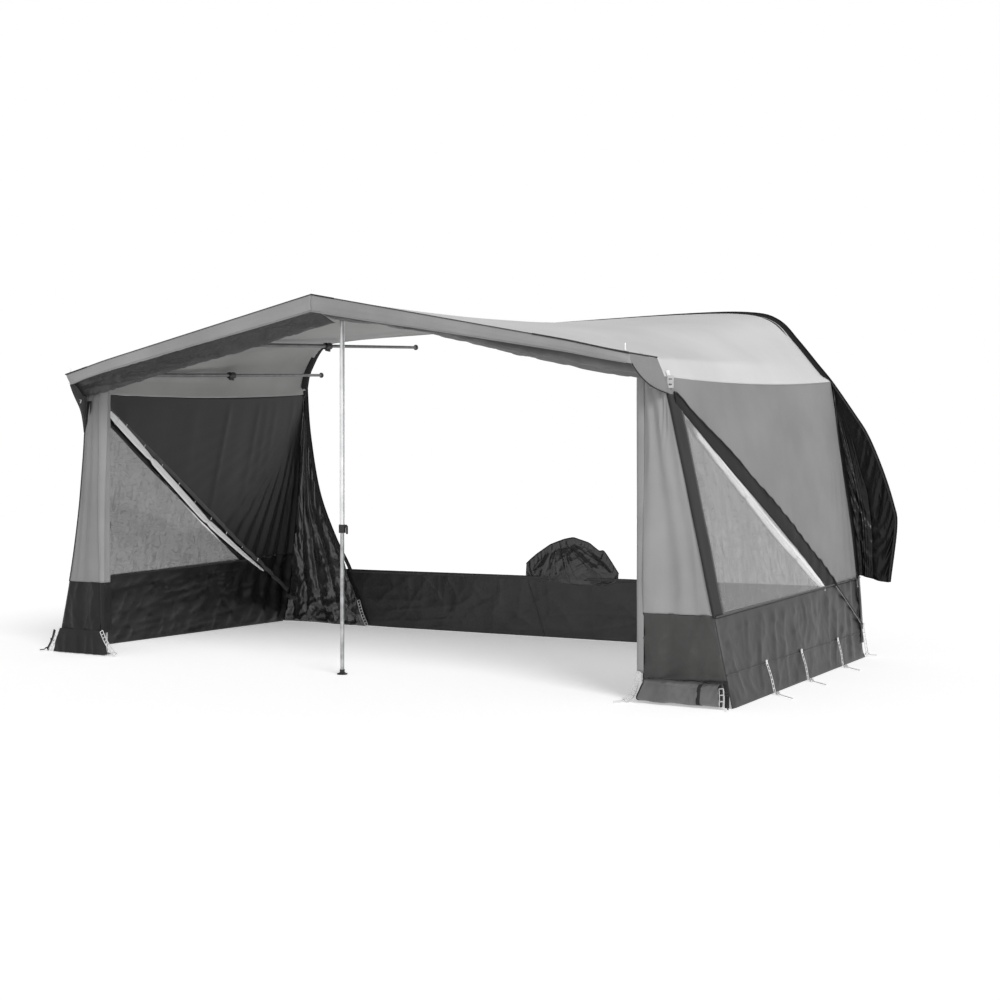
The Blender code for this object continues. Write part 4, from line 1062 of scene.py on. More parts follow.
def wallFolds(side, y, z):
    # tension folds that fan down and forwards from the wall's rear top corner, and faint upright waves
    _, top = seamOf(side, 1.0)
    dy, dz = -beadDepth - y, top - z
    reach = np.hypot(dy, dz)
    turn = np.arctan2(np.maximum(dy, 0), np.maximum(dz, 1e-3))
    fan = np.sin(turn * wallCut["fan"] + 2.4 * softNoise(turn * 5, reach * 0.6, 41)) ** 2
    fan = fan * np.exp(-turn / 0.36) * smoothStep((reach - 0.15) / 0.8)
    fade = smoothStep((seamOf(side, shareAt(y))[1] - z) / 0.15)
    soft = softNoise(y / 0.33, z / 1.3, 43) * 0.3 + folds(y, z, 82, 0.12, 1.4, 47, 2) * 0.22
    return (fan * 1.3 + soft) * fade * wallCut["foldDepth"][side]


def patchGrid(side, ys, low, high, rows, out=0.0, folded=True):
    v = np.linspace(0, 1, rows)[:, None]
    y = np.broadcast_to(ys[None, :], (rows, len(ys)))
    z = mix(low(ys)[None, :], high(ys)[None, :], v)
    push = out - wallFolds(side, y, z) if folded else out
    return onWall(side, y, z, push)


def flapWidth(y):
    # the zip flap is narrower beside the front band
    return mix(cut["zipWidth"] * 0.8, cut["zipWidth"], smoothStep((y - bandEdge) / 0.5))


def flapLift(y):
    # how far its free edge stands off
    return 0.004 * softNoise(y / 0.1, y * 0, 55)


def zipWave(y):
    # the zip flap's free edge ripples
    wave = 0.009 * softNoise(y / 0.1, 0 * y, 51) + 0.006 * np.sin(y * math.tau / 0.092)
    return wave * (0.25 + 0.65 * smoothStep((y - bandEdge - 0.5) / 0.6))


def zipEdge(side, y):
    # the flap's upper edge; it starts lower, under the canopy's end
    high = zipAt(side, y) + mix(-0.016, 0.012, smoothStep((y - bandEdge - 0.1) / 0.4)) + zipWave(y)
    most = cut["endHeight"]["right"] if side == "right" else cut["zipTop"][side]
    return np.minimum(high, most + 0.012)


def buildWalls():
    front = -cut["legPlane"]
    for side, sign in sides.items():
        outer = (sign, 0, 0)
        cross, windowToe = zipMeets(side, 0.0), zipMeets(side, cut["zipWidth"] + 0.006)
        seam = lambda y: seamOf(side, shareAt(y))[1]
        mudLine = lambda y: mudAt(side, y)
        upperLow = lambda y: np.where(y <= bandEdge, cut["zipTop"][side],
                                      np.maximum(zipAt(side, y), mudAt(side, y)))
        ys = np.concatenate([[front], spread(bandEdge, cross, wallCut["step"]),
                             spread(cross, rearEdge, wallCut["step"])[1:]])
        sheetPiece("wall_cloth_" + side, patchGrid(side, ys, upperLow, seam, wallCut["rows"]),
                   ["wallOuter", "wallInner"], outer, ["side_wall_" + side])
        ys = spread(front, bandEdge, wallCut["step"])
        grid = patchGrid(side, ys, mudLine, lambda y: cut["zipTop"][side] + 0 * y, 60, 0.001, False)
        grid[..., 0] += sign * 0.002 * softNoise(grid[..., 1] / 0.08, grid[..., 2] / 0.2, 57)
        # near its top the left band turns in front of the leg, and the right one laps round its edge
        turned = wallCut["bandTurn"][side] * smoothStep((grid[:, :1, 2] - 1.47) / 0.2) + 0.006
        ahead = [grid[:, :1] + np.stack([-sign * turned * k, 0 * turned - 0.008, 0 * turned], -1)
                 for k in (1, 0.5)]
        grid = np.concatenate([*ahead, grid], 1)
        sheetPiece("front_band_cloth_" + side, grid, ["band", "mudInner"], outer, ["wall_front_band_" + side])
        # the zip flap lies over the zip; its free upper edge lifts and ripples a little
        v = np.linspace(0, 1, 11)[:, None]
        ys = flapYs = spread(front + wallCut["flapFront"], cross, wallCut["flapStep"])
        high = zipEdge(side, ys)
        low = np.minimum(np.maximum(zipAt(side, ys) - flapWidth(ys), mudAt(side, ys)), high - 0.004)
        z = mix(low[None, :], high[None, :], v)
        y = np.broadcast_to(ys[None, :], z.shape)
        lift = 0.006 + flapLift(ys)
        bow = 0.006 * np.sin(math.pi * v) * (0.6 + 0.4 * softNoise(ys / 0.3, ys * 0, 58))[None, :]
        push = 0.0025 + lift[None, :] * v ** 3 + bow - np.minimum(wallFolds(side, y, z), 0.008)
        grid = onWall(side, y, z, push)
        sheetPiece("zip_flap_cloth_" + side, grid, ["zipBand", "mudInner"], outer, ["zip_flap_" + side])
        # the window, with a welded hem along its foot
        ys = spread(bandEdge, windowToe, 0.025)
        v = np.linspace(0, 1, wallCut["windowRows"])[:, None]
        z = mix(mudAt(side, ys)[None, :], (zipAt(side, ys) - flapWidth(ys) + 0.02)[None, :], v)
        y = np.broadcast_to(ys[None, :], z.shape)
        ripple = 0.004 * softNoise(y / 0.2, z / 0.35, 61) + 0.0025 * folds(y, z, 75, 0.09, 0.5, 63, 2)
        calm = np.sin(math.pi * v) ** 0.5
        grid = onWall(side, y, z, -0.001 + ripple * calm)
        sheetPiece("window_film_" + side, grid, ["film"], outer, ["side_window_" + side],
                   thick=0.0006)
        hem = onWall(side, ys, mudAt(side, ys) + 0.004, 0.003)
        trims = [(sweepMesh(hem, flatProfile(*wallCut["windowHem"]), outer), "sleeve")]
        # piping along the flap's upper edge, then the bare zip down to its end by the ground
        edge = onWall(side, flapYs, zipEdge(side, flapYs), 0.0085 + flapLift(flapYs))
        trims.append((sweepMesh(edge, roundProfile(wallCut["flapPiping"])), "piping"))
        ys = spread(cross, rearEdge - 0.02, 0.02)
        tail = onWall(side, ys, zipAt(side, ys), 0.007)
        trims.append((sweepMesh(tail, flatProfile(*wallCut["zipTape"]), outer), "piping"))
        chain = tail + np.array([0, 0, -0.011])
        trims.append((sweepMesh(chain, flatProfile(*wallCut["zipChain"]), outer), "thread"))
        # zip teeth and the slider at the foot of the zip
        teeth = tail + np.array([sign * 0.0022, 0, 0])
        trims.append((repeatMesh(teeth, wallCut["teeth"], toothPart, outer, "nylonBlack"), "nylonBlack"))
        slider = blockMesh("slider", wallCut["slider"], 0.003)
        trims.append((moved(slider, tail[-1] + np.array([sign * 0.004, 0, 0])), "nylonWhite"))
        joinPiece("zip_trim_" + side, trims)


buildWalls()
stage("side walls made")


# Rolled blind on the inner side of the zip flap, tied to a strap with toggles

blindCut = {
    # where each hangs, its drops below the zip at shares of its length, and where its ties pinch it
    "left": {"first": -2.335, "last": -0.40, "pinches": [0.24, 0.60],
             "drops": [(0, 0.015), (0.25, 0.05), (0.58, 0.085), (0.85, 0.05), (1, 0.02)]},
    "right": {"first": -2.34, "last": -0.62, "pinches": [0.33, 0.68],
              "drops": [(0, 0.10), (0.25, 0.155), (0.5, 0.185), (0.8, 0.16), (1, 0.12)]},
    "width": 0.056, "depth": 0.02, "turns": 2.2, "inset": 0.016, "toggles": 10, "strap": (0.034, 0.002),
    "tie": (0.007, 0.001), "endTies": [0.05, 0.93],
}


def rolledGrid(centres, across, inward, widths, depths, turns, steps):
    # cloth wound up on itself along a line of centres
    angle = np.linspace(0, turns * math.tau, steps)
    size = mix(0.45, 1.0, angle / angle[-1])
    round_ = np.cos(angle) * size, np.sin(angle) * size
    return (centres[:, None] + across[:, None] * (widths[:, None] * round_[0])[..., None]
            + inward[:, None] * (depths[:, None] * round_[1])[..., None])


def buildBlinds():
    for side, sign in sides.items():
        spec = blindCut[side]
        t = spread(0, 1, 0.012 / (spec["last"] - spec["first"]))
        y = mix(spec["first"], spec["last"], t)
        drops = np.array(spec["drops"])
        drop = np.interp(t, drops[:, 0], drops[:, 1])
        relax(drop, 30)
        centres = onWall(side, y, zipAt(side, y) - drop, -blindCut["inset"])
        along = np.gradient(centres, axis=0)
        along /= np.linalg.norm(along, axis=1, keepdims=True)
        inward = np.cross(along, np.array([0, 0, 1.0])) * sign
        inward *= np.sign(-sign * inward[:, :1])
        inward /= np.linalg.norm(inward, axis=1, keepdims=True)
        across = np.cross(along, inward)
        squeeze = 1 - 0.45 * sum(np.exp(-((t - p) / 0.012) ** 2) for p in spec["pinches"])
        ends = np.sqrt(np.clip(1 - np.abs(2 * t - 1) ** 24, 0.05, 1))
        lumps = 1 + 0.12 * softNoise(t * 14, 0 * t, 65)
        widths = blindCut["width"] / 2 * squeeze * lumps * mix(1, 0.45, smoothStep((t - 0.6) / 0.4)) * ends
        depths = blindCut["depth"] / 2 * (2 - squeeze) * ends
        grid = rolledGrid(centres, across, inward, widths, depths, blindCut["turns"], 44)
        sheetPiece("blind_cloth_" + side, grid, ["blind"], (0, 0, 0.01), ["blind_roll_" + side],
                   thick=0.0008)
        # the strap that backs the zip, with the toggles and the ties round the roll
        ys = spread(-cut["legPlane"] + wallCut["flapFront"], -beadDepth - 0.03, 0.02)
        push = np.minimum(wallFolds(side, ys, zipAt(side, ys)), 0.02)
        push = push + 0.014 * smoothStep((ys - zipMeets(side, 0.0) + 0.1) / 0.15)
        strap = onWall(side, ys, zipAt(side, ys) + 0.004, -0.006 - push)
        held = slice(int(len(strap) * 0.05), int(len(strap) * 0.82))
        toggles = strap[held] + np.array([-sign * 0.006, 0, 0.010])
        if side == "left":
            toggles[:, 2] -= np.interp(ys[held], y, drop) - 0.024
        parts = [(sweepMesh(strap, flatProfile(*blindCut["strap"]), (-sign, 0, 0)), "strap")]
        parts.append((repeatMesh(toggles, blindCut["toggles"], togglePart, (0, 0, 1), "nylonWhite", 0.15),
                      "nylonWhite"))
        for p in [*spec["pinches"], *blindCut["endTies"]]:
            k = int(p * (len(t) - 1))
            turn = np.linspace(0, math.tau, 17)[:, None]
            loop = (centres[k] + across[k] * np.cos(turn) * (widths[k] + 0.0015)
                    + inward[k] * np.sin(turn) * (depths[k] + 0.0015))
            parts.append((sweepMesh(loop[:-1], flatProfile(*blindCut["tie"]), inward[k]), "nylonWhite"))
        joinPiece("blind_strap_" + side, parts)
        # where the roll lies against the window
        film = bpy.data.objects["window_film_" + side].data
        spots = np.array([vertex.co[:] for vertex in film.vertices]) - site
        below = zipAt(side, spots[:, 1]) - np.interp(spots[:, 1], y, drop) - spots[:, 2]
        touch = 1 - smoothStep((np.abs(below) - blindCut["width"] * 0.55) / 0.025)
        touch = touch * smoothStep((spots[:, 1] - spec["first"]) / 0.1)
        touch = touch * smoothStep((spec["last"] - spots[:, 1]) / 0.1)
        film.attributes.new("contact", "FLOAT", "POINT").data.foreach_set("value", touch.astype(np.float32))


buildBlinds()
stage("blinds made")


# Lower panels of the side walls

mudCut = {"step": 0.016, "rows": 38, "fold": {"left": 0.018, "right": 0.010}, "turnUp": 0.164, "bulge": 0.03,
          "lowSeam": (0.009, 0.002), "topSeam": (0.010, 0.002)}


def mudRelief(a, z, seed, reach):
    # long slack creases and small crumples, calmer along the seam at the top
    long = folds(a, z, 76, 0.16, 0.5, seed, 3) * 0.7 + folds(a, z, 6, 0.06, 0.6, seed + 5, 4) * 0.4
    return (long + crumple(a, z, seed + 9, 0.14) - 0.6) * smoothStep((reach - z) / 0.1)


def buildMudPanels():
    for side, sign in sides.items():
        outer = (sign, 0, 0)
        ys = spread(-cut["legPlane"], rearEdge, mudCut["step"])
        z = mudAt(side, ys)[None, :] * np.linspace(0, 1, mudCut["rows"])[:, None]
        y = np.broadcast_to(ys[None, :], z.shape)
        push = mudCut["fold"][side] * mudRelief(y, z, 71 + sign, mudAt(side, y))
        push = push - wallFolds(side, y, z) * 0.8
        # the strip below the pegging seam kinks out a little
        below = np.clip((mudCut["turnUp"] - z) / mudCut["turnUp"], 0, 1)
        push = push * smoothStep(z / 0.05) + 0.010 * below - 0.004
        if side == "left":
            # its foot sags inwards towards the rear
            slack = smoothStep((y + 0.75) / 0.3) * smoothStep((-0.1 - y) / 0.1)
            push = push - mudCut["bulge"] * slack * np.sin(math.pi * np.clip(z / 0.28, 0, 1))
        edge = smoothStep((y + cut["legPlane"]) / 0.05)
        grid = onWall(side, y, z, push * edge)
        sheetPiece("mud_panel_cloth_" + side, grid, ["mudSide", "mudInner"], outer,
                   ["wall_mud_panel_" + side])
        height = mudCut["turnUp"]
        seam = np.array([onWall(side, a, height, 0.0025 + np.interp(height, z[:, k], push[:, k]))
                         for k, a in enumerate(ys)])
        parts = [(sweepMesh(seam[1:], flatProfile(*mudCut["lowSeam"]), outer), "mudSide")]
        high = onWall(side, ys[1:], mudAt(side, ys[1:]) + 0.003, 0.003)
        parts.append((sweepMesh(high, flatProfile(*mudCut["topSeam"]), outer), "mudSide"))
        joinPiece("mud_panel_seams_" + side, parts)


buildMudPanels()
stage("mud panels made")


# Legs beside the open front: a sleeve round the upright, the grey panel and the dark panel below it

legCut = {
    "sleeveTop": {"left": 0.092, "right": 0.034}, "sleeveFoot": {"left": 0.03, "right": 0.03},
    "foldDepth": 0.016, "foldCount": {"left": 2.2, "right": 2.6}, "sleeveLow": 0.15, "step": 0.010,
    # the left leg's dark panel gets the darker copy of its cloth, painted shade
    "low": {"left": 0.15, "right": 0.118}, "dark": {"left": "mudDeep", "right": "mud"},
    # the right leg's outer face gets the paler copy of the wall cloth, painted light
    "outer": {"left": "wallOuter", "right": "wallNear"},
    # the leg's inner edge, outboard of the ridge line, at some heights
    "innerEdge": {"left": [(0.0, 1.944), (0.82, 1.941), (1.145, 1.933), (1.40, 1.917), (1.75, 1.900)],
                  "right": [(0.0, 1.965), (1.75, 1.965)]},
    # where the sleeve turns back, below and above the top of the upright's foot
    "turnsAt": {"left": (1.9445, 1.957), "right": (1.9395, 1.9395)}, "footTop": 0.44,
}
sleeveShape = {
    # round the upright's inner side, from behind it to the front: share of the room there, and how far back
    "left": [(1, 0.068), (1, 0.055), (0.9, 0.035), (0.55, 0.015), (0.2, 0.005), (0, 0)],
    "right": [(0.5, 0.082), (0.8, 0.076), (1, 0.055), (0.92, 0.038), (0.5, 0.022), (0, 0)],
}


def innerAt(side, z):
    heights = np.array(legCut["innerEdge"][side])
    return np.interp(z, heights[:, 0], heights[:, 1])


def sleeveRoom(side, z):
    # how far outboard the cloth turns behind the leg's inner edge: past the tube, and low down past its foot
    byFoot, byTube = legCut["turnsAt"][side]
    return mix(byFoot, byTube, smoothStep((z - legCut["footTop"]) / 0.06)) - innerAt(side, z)


def legTop(side, x):
    cornerX, _ = soffitCorner(side)
    return gable(side, x / cornerX * cut["eaveHalf"]) - 0.112


def legWave(side, s, z, seed):
    # upright folds, deepest beside the sleeve, with the creases that the corner's pull draws in
    wave = np.sin(math.pi * (s * legCut["foldCount"][side] + 0.3 * softNoise(z / 0.7, s * 2, seed))) ** 2
    pull = folds(s * 0.4, z, 68 if side == "right" else 112, 0.035, 0.3, seed + 3, 2)
    pull = pull * smoothStep((z - 1.25) / 0.3) * smoothStep((s - 0.3) / 0.5)
    return (legCut["foldDepth"] * wave * (1 - s) ** 0.7 + 0.012 * pull * np.sin(math.pi * s)
            + 0.003 * folds(s * 0.4, z, 84, 0.06, 0.8, seed + 5, 2))


def legGrid(side, low, high, rows, seed, crushed):
    s = spread(0, 1, legCut["step"] / 0.42)[None, :]
    v = np.linspace(0, 1, rows)[:, None]
    if high is None:
        topX = mix(innerAt(side, 1.6), soffitCorner(side)[0], s)
        high = legTop(side, topX)
    z = mix(low, high, v) + 0 * s
    width = mix(legCut["sleeveFoot"][side], legCut["sleeveTop"][side], z / 1.7)
    inner = innerAt(side, z) + width - 0.004
    x = mix(inner, wallX(side, -cut["legPlane"] + 0 * z, z) - 0.001, s)
    calm = smoothStep((legTop(side, x) - z) / 0.05) * smoothStep((1 - s) / 0.06)
    y = -cut["legPlane"] + 0.006 * (1 - s) - legWave(side, s, z, seed) * calm
    y = y - crushed * mudRelief(x, z, seed, 10.0) * calm
    return np.stack([sides[side] * x, y, z], -1)


def sleeveGrid(side, low, high):
    z = spread(low, high, 0.02)[:, None]
    width = mix(legCut["sleeveFoot"][side], legCut["sleeveTop"][side], z / 1.7)
    back = np.array(sleeveShape[side])
    ahead = np.linspace(0, 1, 9)[1:]
    outboard = np.concatenate([back[:, 0] * sleeveRoom(side, z), ahead * width], 1)
    bulge = np.sin(math.pi * ahead) * 0.012 * smoothStep((width - 0.02) / 0.05)
    backward = np.concatenate([np.broadcast_to(back[:, 1], (len(z), len(back))), 0.002 - bulge], 1)
    outboard = outboard - 0.001 * (1 + softNoise(z / 0.35, 0 * z, 83)) * smoothStep(backward / 0.05)
    backward = backward - 0.0015 * softNoise(z / 0.2, outboard / 0.05, 85)
    x = sides[side] * (innerAt(side, z) + outboard)
    return np.stack([x, -cut["legPlane"] + backward, z + 0 * outboard], -1)


def buildLegs():
    for side, sign in sides.items():
        seed = 81 + sign
        sheetPiece("leg_cloth_" + side, legGrid(side, cut["legMud"][side], None, 120, seed, 0.001),
                   [legCut["outer"][side], "wallInner"], (0, -1, 0), ["leg_panel_" + side])
        grid = legGrid(side, legCut["low"][side], cut["legMud"][side], 48, seed, 0.012)
        sheetPiece("leg_mud_cloth_" + side, grid, [legCut["dark"][side], "mudInner"], (0, -1, 0),
                   ["leg_mud_panel_" + side])
        top = legTop(side, innerAt(side, 1.6)) + 0.004
        foot = legCut["sleeveLow"] if side == "right" else cut["legMud"]["left"]
        sheetPiece("leg_sleeve_" + side, sleeveGrid(side, foot, top), ["sleeve", "wallInner"],
                   (-sign * 0.2, -1, 0), [])
        if side == "left":
            # its foot is the darker copy of the panel cloth, painted shade
            sheetPiece("leg_sleeve_foot_left", sleeveGrid(side, legCut["sleeveLow"], foot - 0.001),
                       ["mudDeep", "mudInner"], (0.2, -1, 0), [])


buildLegs()
stage("legs made")


# Ground flaps: the left one hangs and flares, the right one is rolled up into a bag

flapCut = {"leftTop": 0.165, "leftInner": (1.882, 1.937), "leftOuter": 2.398,
           "bagFirst": 1.98, "bagLean": 0.05, "bagLast": 2.435, "bagHeight": 0.138,
           "bagDepth": 0.095, "bagFront": 0.055, "bagTurns": 1.75, "bagSteps": 96, "bagTurnSteps": 55,
           "bagTieAt": 0.76, "bagTie": (0.02, 0.0015), "bagHem": 0.004}


def buildGroundFlaps():
    s = spread(0, 1, 0.011 / 0.45)[None, :]
    v = np.linspace(0, 1, 22)[:, None]
    z = mix(0.004, flapCut["leftTop"], v) + 0 * s
    inner = mix(*flapCut["leftInner"], smoothStep(z / flapCut["leftTop"]))
    corner = wallX("left", -cut["legPlane"], flapCut["leftTop"]) + 0.002
    outer = mix(flapCut["leftOuter"], corner, z / flapCut["leftTop"])
    x = mix(inner, outer, s)
    flare = (flapCut["leftTop"] - z) / flapCut["leftTop"]
    y = -cut["legPlane"] - 0.012 - 0.012 * flare - 0.012 * folds(x, z, 86, 0.07, 0.5, 91, 2) * flare
    y = y - 0.006 * folds(x, z, 20, 0.05, 0.25, 93, 3) * np.sin(math.pi * v)
    # its cloth is the darker copy of the panel cloth, painted shade
    sheetPiece("ground_flap_cloth_left", np.stack([-x, y, z], -1), ["mudDeep", "mudInner"], (0, -1, 0),
               ["ground_flap_roll_left"])

    # the bag: cloth wound about a turn and three quarters into a slack, squarish roll
    t = spread(0, 1, 0.008 / 0.48)
    angle = np.linspace(0, flapCut["bagTurns"] * math.tau, flapCut["bagSteps"])
    size = mix(0.72, 1.0, angle / angle[-1])
    turn = angle + math.radians(150)
    square = lambda a: np.sign(a) * np.abs(a) ** 0.72
    across, up = square(np.cos(turn)) * size, square(np.sin(turn)) * size
    slack = 1 - 0.10 * (0.5 + 0.5 * np.cos(math.tau * 2.3 * t)) + 0.04 * softNoise(t * 9, 0 * t, 97)
    z = flapCut["bagHeight"] / 2 * (1 + up[None, :] * slack[:, None]) * 0.98 + 0.003
    depth = flapCut["bagDepth"] / 2 * across[None, :] * slack[:, None]
    wrinkle = 0.007 * folds(t[:, None] * 0.5, z, 60, 0.04, 0.2, 99, 2)
    wrinkle = wrinkle + 0.006 * folds(t[:, None] * 0.5, z, 115, 0.05, 0.16, 101, 3)
    wrinkle = wrinkle + 0.010 * (crumple(t[:, None] * 0.45, z, 107, 0.09) - 0.4)
    crease = 0.009 * np.exp(-((z - 0.105 + 0.02 * t[:, None]) / 0.008) ** 2)
    y = -cut["legPlane"] - flapCut["bagFront"] + 0.02 + depth
    y = y - (wrinkle - crease) * np.clip(-across, 0, 1)[None, :]
    first = flapCut["bagFirst"] + flapCut["bagLean"] * z / flapCut["bagHeight"]
    x = mix(first, flapCut["bagLast"], t[:, None]) + 0.006 * softNoise(t[:, None] * 7, turn[None, :], 103)
    grid = np.stack([x, y, z + 0.004 * softNoise(t[:, None] * 8, turn[None, :] * 1.5, 105) * (z > 0.02)], -1)
    sheetPiece("ground_flap_bag_right", grid, ["bag"], (0, -0.001, 0), ["ground_flap_roll_right"],
               thick=0.001)
    # the hem on the bag's open end and its tie, both round its outermost turn
    last = slice(-flapCut["bagTurnSteps"], None)
    ring = grid[0, last]
    tie = grid[int(len(t) * flapCut["bagTieAt"]), last] + np.array([0, -0.002, 0])
    facing = np.stack([0 * ring[:, 0], np.cos(turn[last]), np.sin(turn[last])], -1)
    parts = [(sweepMesh(ring, roundProfile(flapCut["bagHem"])), "webbing"),
             (sweepMesh(tie, flatProfile(*flapCut["bagTie"]), facing), "webbing")]
    joinPiece("ground_flap_trim_right", parts)


buildGroundFlaps()
stage("ground flaps made")


# Rear flaps: coated cloth gathered between the wall's rear edge and the rail

rearCut = {
    "left": {"pleats": 4.5, "depth": 0.036, "crumple": 0.034, "startDrop": -0.02},
    "right": {"pleats": 2.6, "depth": 0.016, "crumple": 0.018, "startDrop": -0.02},
    "plane": -0.034, "rows": 130, "columns": 90, "hemWidth": 0.07, "hemFoot": 0.10,
    "slide": 0.35, "footRise": 0.045, "overWall": 0.024, "overSkirt": 0.045,
    "settling": {"grow": 0.01, "frames": 14, "bend": 4.0, "cap": 0.012},
}


def railBelow(side, drop, rows):
    # points down the rail's outline from a drop below the wall's seam
    count = 400
    run = railRun(side, seamStep, len(railShares[side]) - 1, np.linspace(0, 1, count))
    first = int(np.argmax(run[:, 1] < seamOf(side, 1.0)[1] - drop))
    pick = np.linspace(first, count - 1, rows)
    return np.stack([np.interp(pick, np.arange(count), run[:, k]) for k in (0, 1)], -1)


def rearGrid(side):
    spec = rearCut[side]
    rail = railBelow(side, spec["startDrop"], rearCut["rows"])
    down = np.linspace(0, 1, rearCut["rows"])[:, None]
    t = np.linspace(0, 1, rearCut["columns"])[None, :]
    railZ = np.maximum(rail[:, 1:], 0.004)
    if side == "left":
        railZ = mix(0.004, rail[0, 1], (railZ - railZ[-1]) / (rail[0, 1] - railZ[-1]))
    wallZ = railZ + (rearCut["footRise"] * down ** 3 if side == "right" else 0)
    z = mix(wallZ, railZ, t)
    start = wallX(side, -beadDepth + 0 * z, z) - 0.006
    x = mix(start, rail[:, :1] - 0.002, t)
    span = np.abs(x[:, -1:] - x[:, :1])
    grow = smoothStep(span / 0.35)
    # pleats that run down from the narrow top, doubled over near the wall, and a crumpled foot
    lean = t + 0.10 * softNoise(down * 2.2, t * 3, 111) + 0.04 * softNoise(down * 7, t * 6, 113)
    pleat = np.abs(np.sin(math.pi * spec["pleats"] * lean)) ** 0.7 - 0.5
    edges = smoothStep(t / 0.04) * smoothStep((1 - t) / 0.04)
    foot = smoothStep((down - 0.45) / 0.4)
    crushed = crumple(x, z, 115, 0.16) + 0.45 * crumple(x, z, 127, 0.06) - 0.6
    fine = folds(x, z, 80, 0.02, 0.2, 119, 2) - 0.5
    push = spec["depth"] * pleat + spec["crumple"] * crushed * (0.2 + foot) + 0.003 * fine
    if side == "right":
        # thin upright folds by the wall and a rib beside the rail
        byWall = 1 - smoothStep((t - 0.15) / 0.35)
        push = push + 0.010 * (creases(t * 16, down * 1.2, 151, 2) - 0.4) * byWall
        push = push + 0.012 * np.exp(-((t - 0.78) / 0.05) ** 2)
    push = push * edges * grow
    push = push * smoothStep(z / 0.05 + 0.3)
    # the pleats also slide sideways, so that one laps over the next
    slide = rearCut["slide"] * spec["depth"] * np.cos(math.tau * spec["pleats"] * lean)
    x = x + slide * edges * grow * t * (1 - t)
    # it starts in front of the wall's rear edge, and the left one ends in front of the skirt
    lap = (1 - smoothStep(t / 0.10)) * rearCut["overWall"]
    if side == "left":
        bySkirt = smoothStep((t - 0.35) / 0.4) * smoothStep((cut["skirtHeight"] + 0.12 - z) / 0.2)
        lap = lap + bySkirt * rearCut["overSkirt"]
    return np.stack([sides[side] * x, rearCut["plane"] - push - lap, z], -1)


def hemGrid(side):
    # the glossy strip folded round the wall's rear edge
    _, top = seamOf(side, 1.0)
    z = spread(rearCut["hemFoot"], top - 0.05, 0.02)[:, None]
    t = np.linspace(0, 1, 15)[None, :]
    width = rearCut["hemWidth"] * smoothStep((top - z) / 0.5)
    y = -beadDepth - 0.002 - width * t + 0 * z
    push = 0.005 + 0.005 * np.sin(math.pi * t) + 0.004 * folds(y, z, 88, 0.03, 0.7, 121, 2)
    return onWall(side, y, z + 0 * t, push - wallFolds(side, y, z + 0 * t) * 0.5)


def buildRearFlaps():
    for side, sign in sides.items():
        grid = rearGrid(side)
        pins = np.zeros(grid.shape[:2], bool)
        pins[:, :1] = True
        pins[:, -1:] = True
        pins[:2] = True
        pins[-1:] = side == "left"
        # the left flap gets the paler copy of the coated cloth, painted highlight
        coat = "coatedLeft" if side == "left" else "coated"
        sheetPiece("rear_flap_cloth_" + side, grid, [coat], (0, -1, 0), ["rear_flap_" + side],
                   pins=pins, settling=rearCut["settling"])
        sheetPiece("rear_hem_" + side, hemGrid(side), ["coated"], (sign, 0, 0), [])


buildRearFlaps()
stage("rear flaps made")


# Draught skirt and wheel cover

skirtCut = {"plane": -0.054, "fold": 0.008, "leftFoot": -1.56, "leftTop": -1.82, "seamX": 0.10,
            "hem": (0.026, 0.005), "seam": (0.012, 0.003)}
wheelCut = {
    "plane": -0.046, "swell": 0.055, "crease": 0.020, "edge": 0.004,
    "settling": {"grow": 0.04, "frames": 16, "bend": 0.1, "cap": 0.02},
    # its height from one end to the other, as shares of its length and of its highest point
    "shares": [(0, 0.30), (0.05, 0.42), (0.12, 0.56), (0.27, 0.81), (0.42, 0.95), (0.52, 1), (0.69, 0.87),
               (0.80, 0.66), (0.84, 0.70), (0.91, 0.46), (1, 0.12)],
}


def buildSkirt():
    v = np.linspace(0, 1, 52)[:, None]
    z = mix(0.004, cut["skirtHeight"], v)
    last = wallX("right", skirtCut["plane"] + 0 * z, z) - 0.008
    t = spread(0, 1, 0.013 / 4.0)[None, :]
    leftEdge = mix(skirtCut["leftFoot"], skirtCut["leftTop"], z / cut["skirtHeight"])
    x = mix(leftEdge, last, t)
    upright = folds(x, z, 84, 0.22, 0.8, 131, 2) + 0.5 * folds(x, z, 97, 0.11, 0.5, 133, 3)
    slant = 0.8 * folds(x, z, -42, 0.16, 0.5, 135, 5) + 0.5 * folds(x, z, 40, 0.12, 0.3, 137, 4)
    slack = np.sin(math.pi * np.clip(v * 0.85 + 0.05, 0, 1))
    y = skirtCut["plane"] - skirtCut["fold"] * (upright + slant) * slack - 0.010 * (1 - v) ** 2
    y = y - 0.004 * folds(x, z, 5, 0.05, 0.35, 139, 3) * (1 - v)
    y = mix(-0.045, y, smoothStep((x - leftEdge + 0.02) / 0.35))
    grid = np.stack([x, y + 0 * x, z + 0 * x], -1)
    sheetPiece("skirt_cloth", grid, ["skirt"], (0, -1, 0), ["draught_skirt"])
    # the hem along the top, a tube of doubled cloth, and one upright seam
    hem = np.stack([grid[-1, :, 0], grid[-1, :, 1] - 0.003, grid[-1, :, 2] - 0.012], -1)[::3]
    seamAt = int(np.argmin(np.abs(grid[0, :, 0] - skirtCut["seamX"])))
    seam = grid[:, seamAt] + np.array([0, -0.002, 0])
    joinPiece("skirt_seams", [(sweepMesh(hem, flatProfile(*skirtCut["hem"]), (0, -1, 0)), "skirt"),
                              (sweepMesh(seam, flatProfile(*skirtCut["seam"]), (0, -1, 0)), "skirt")])


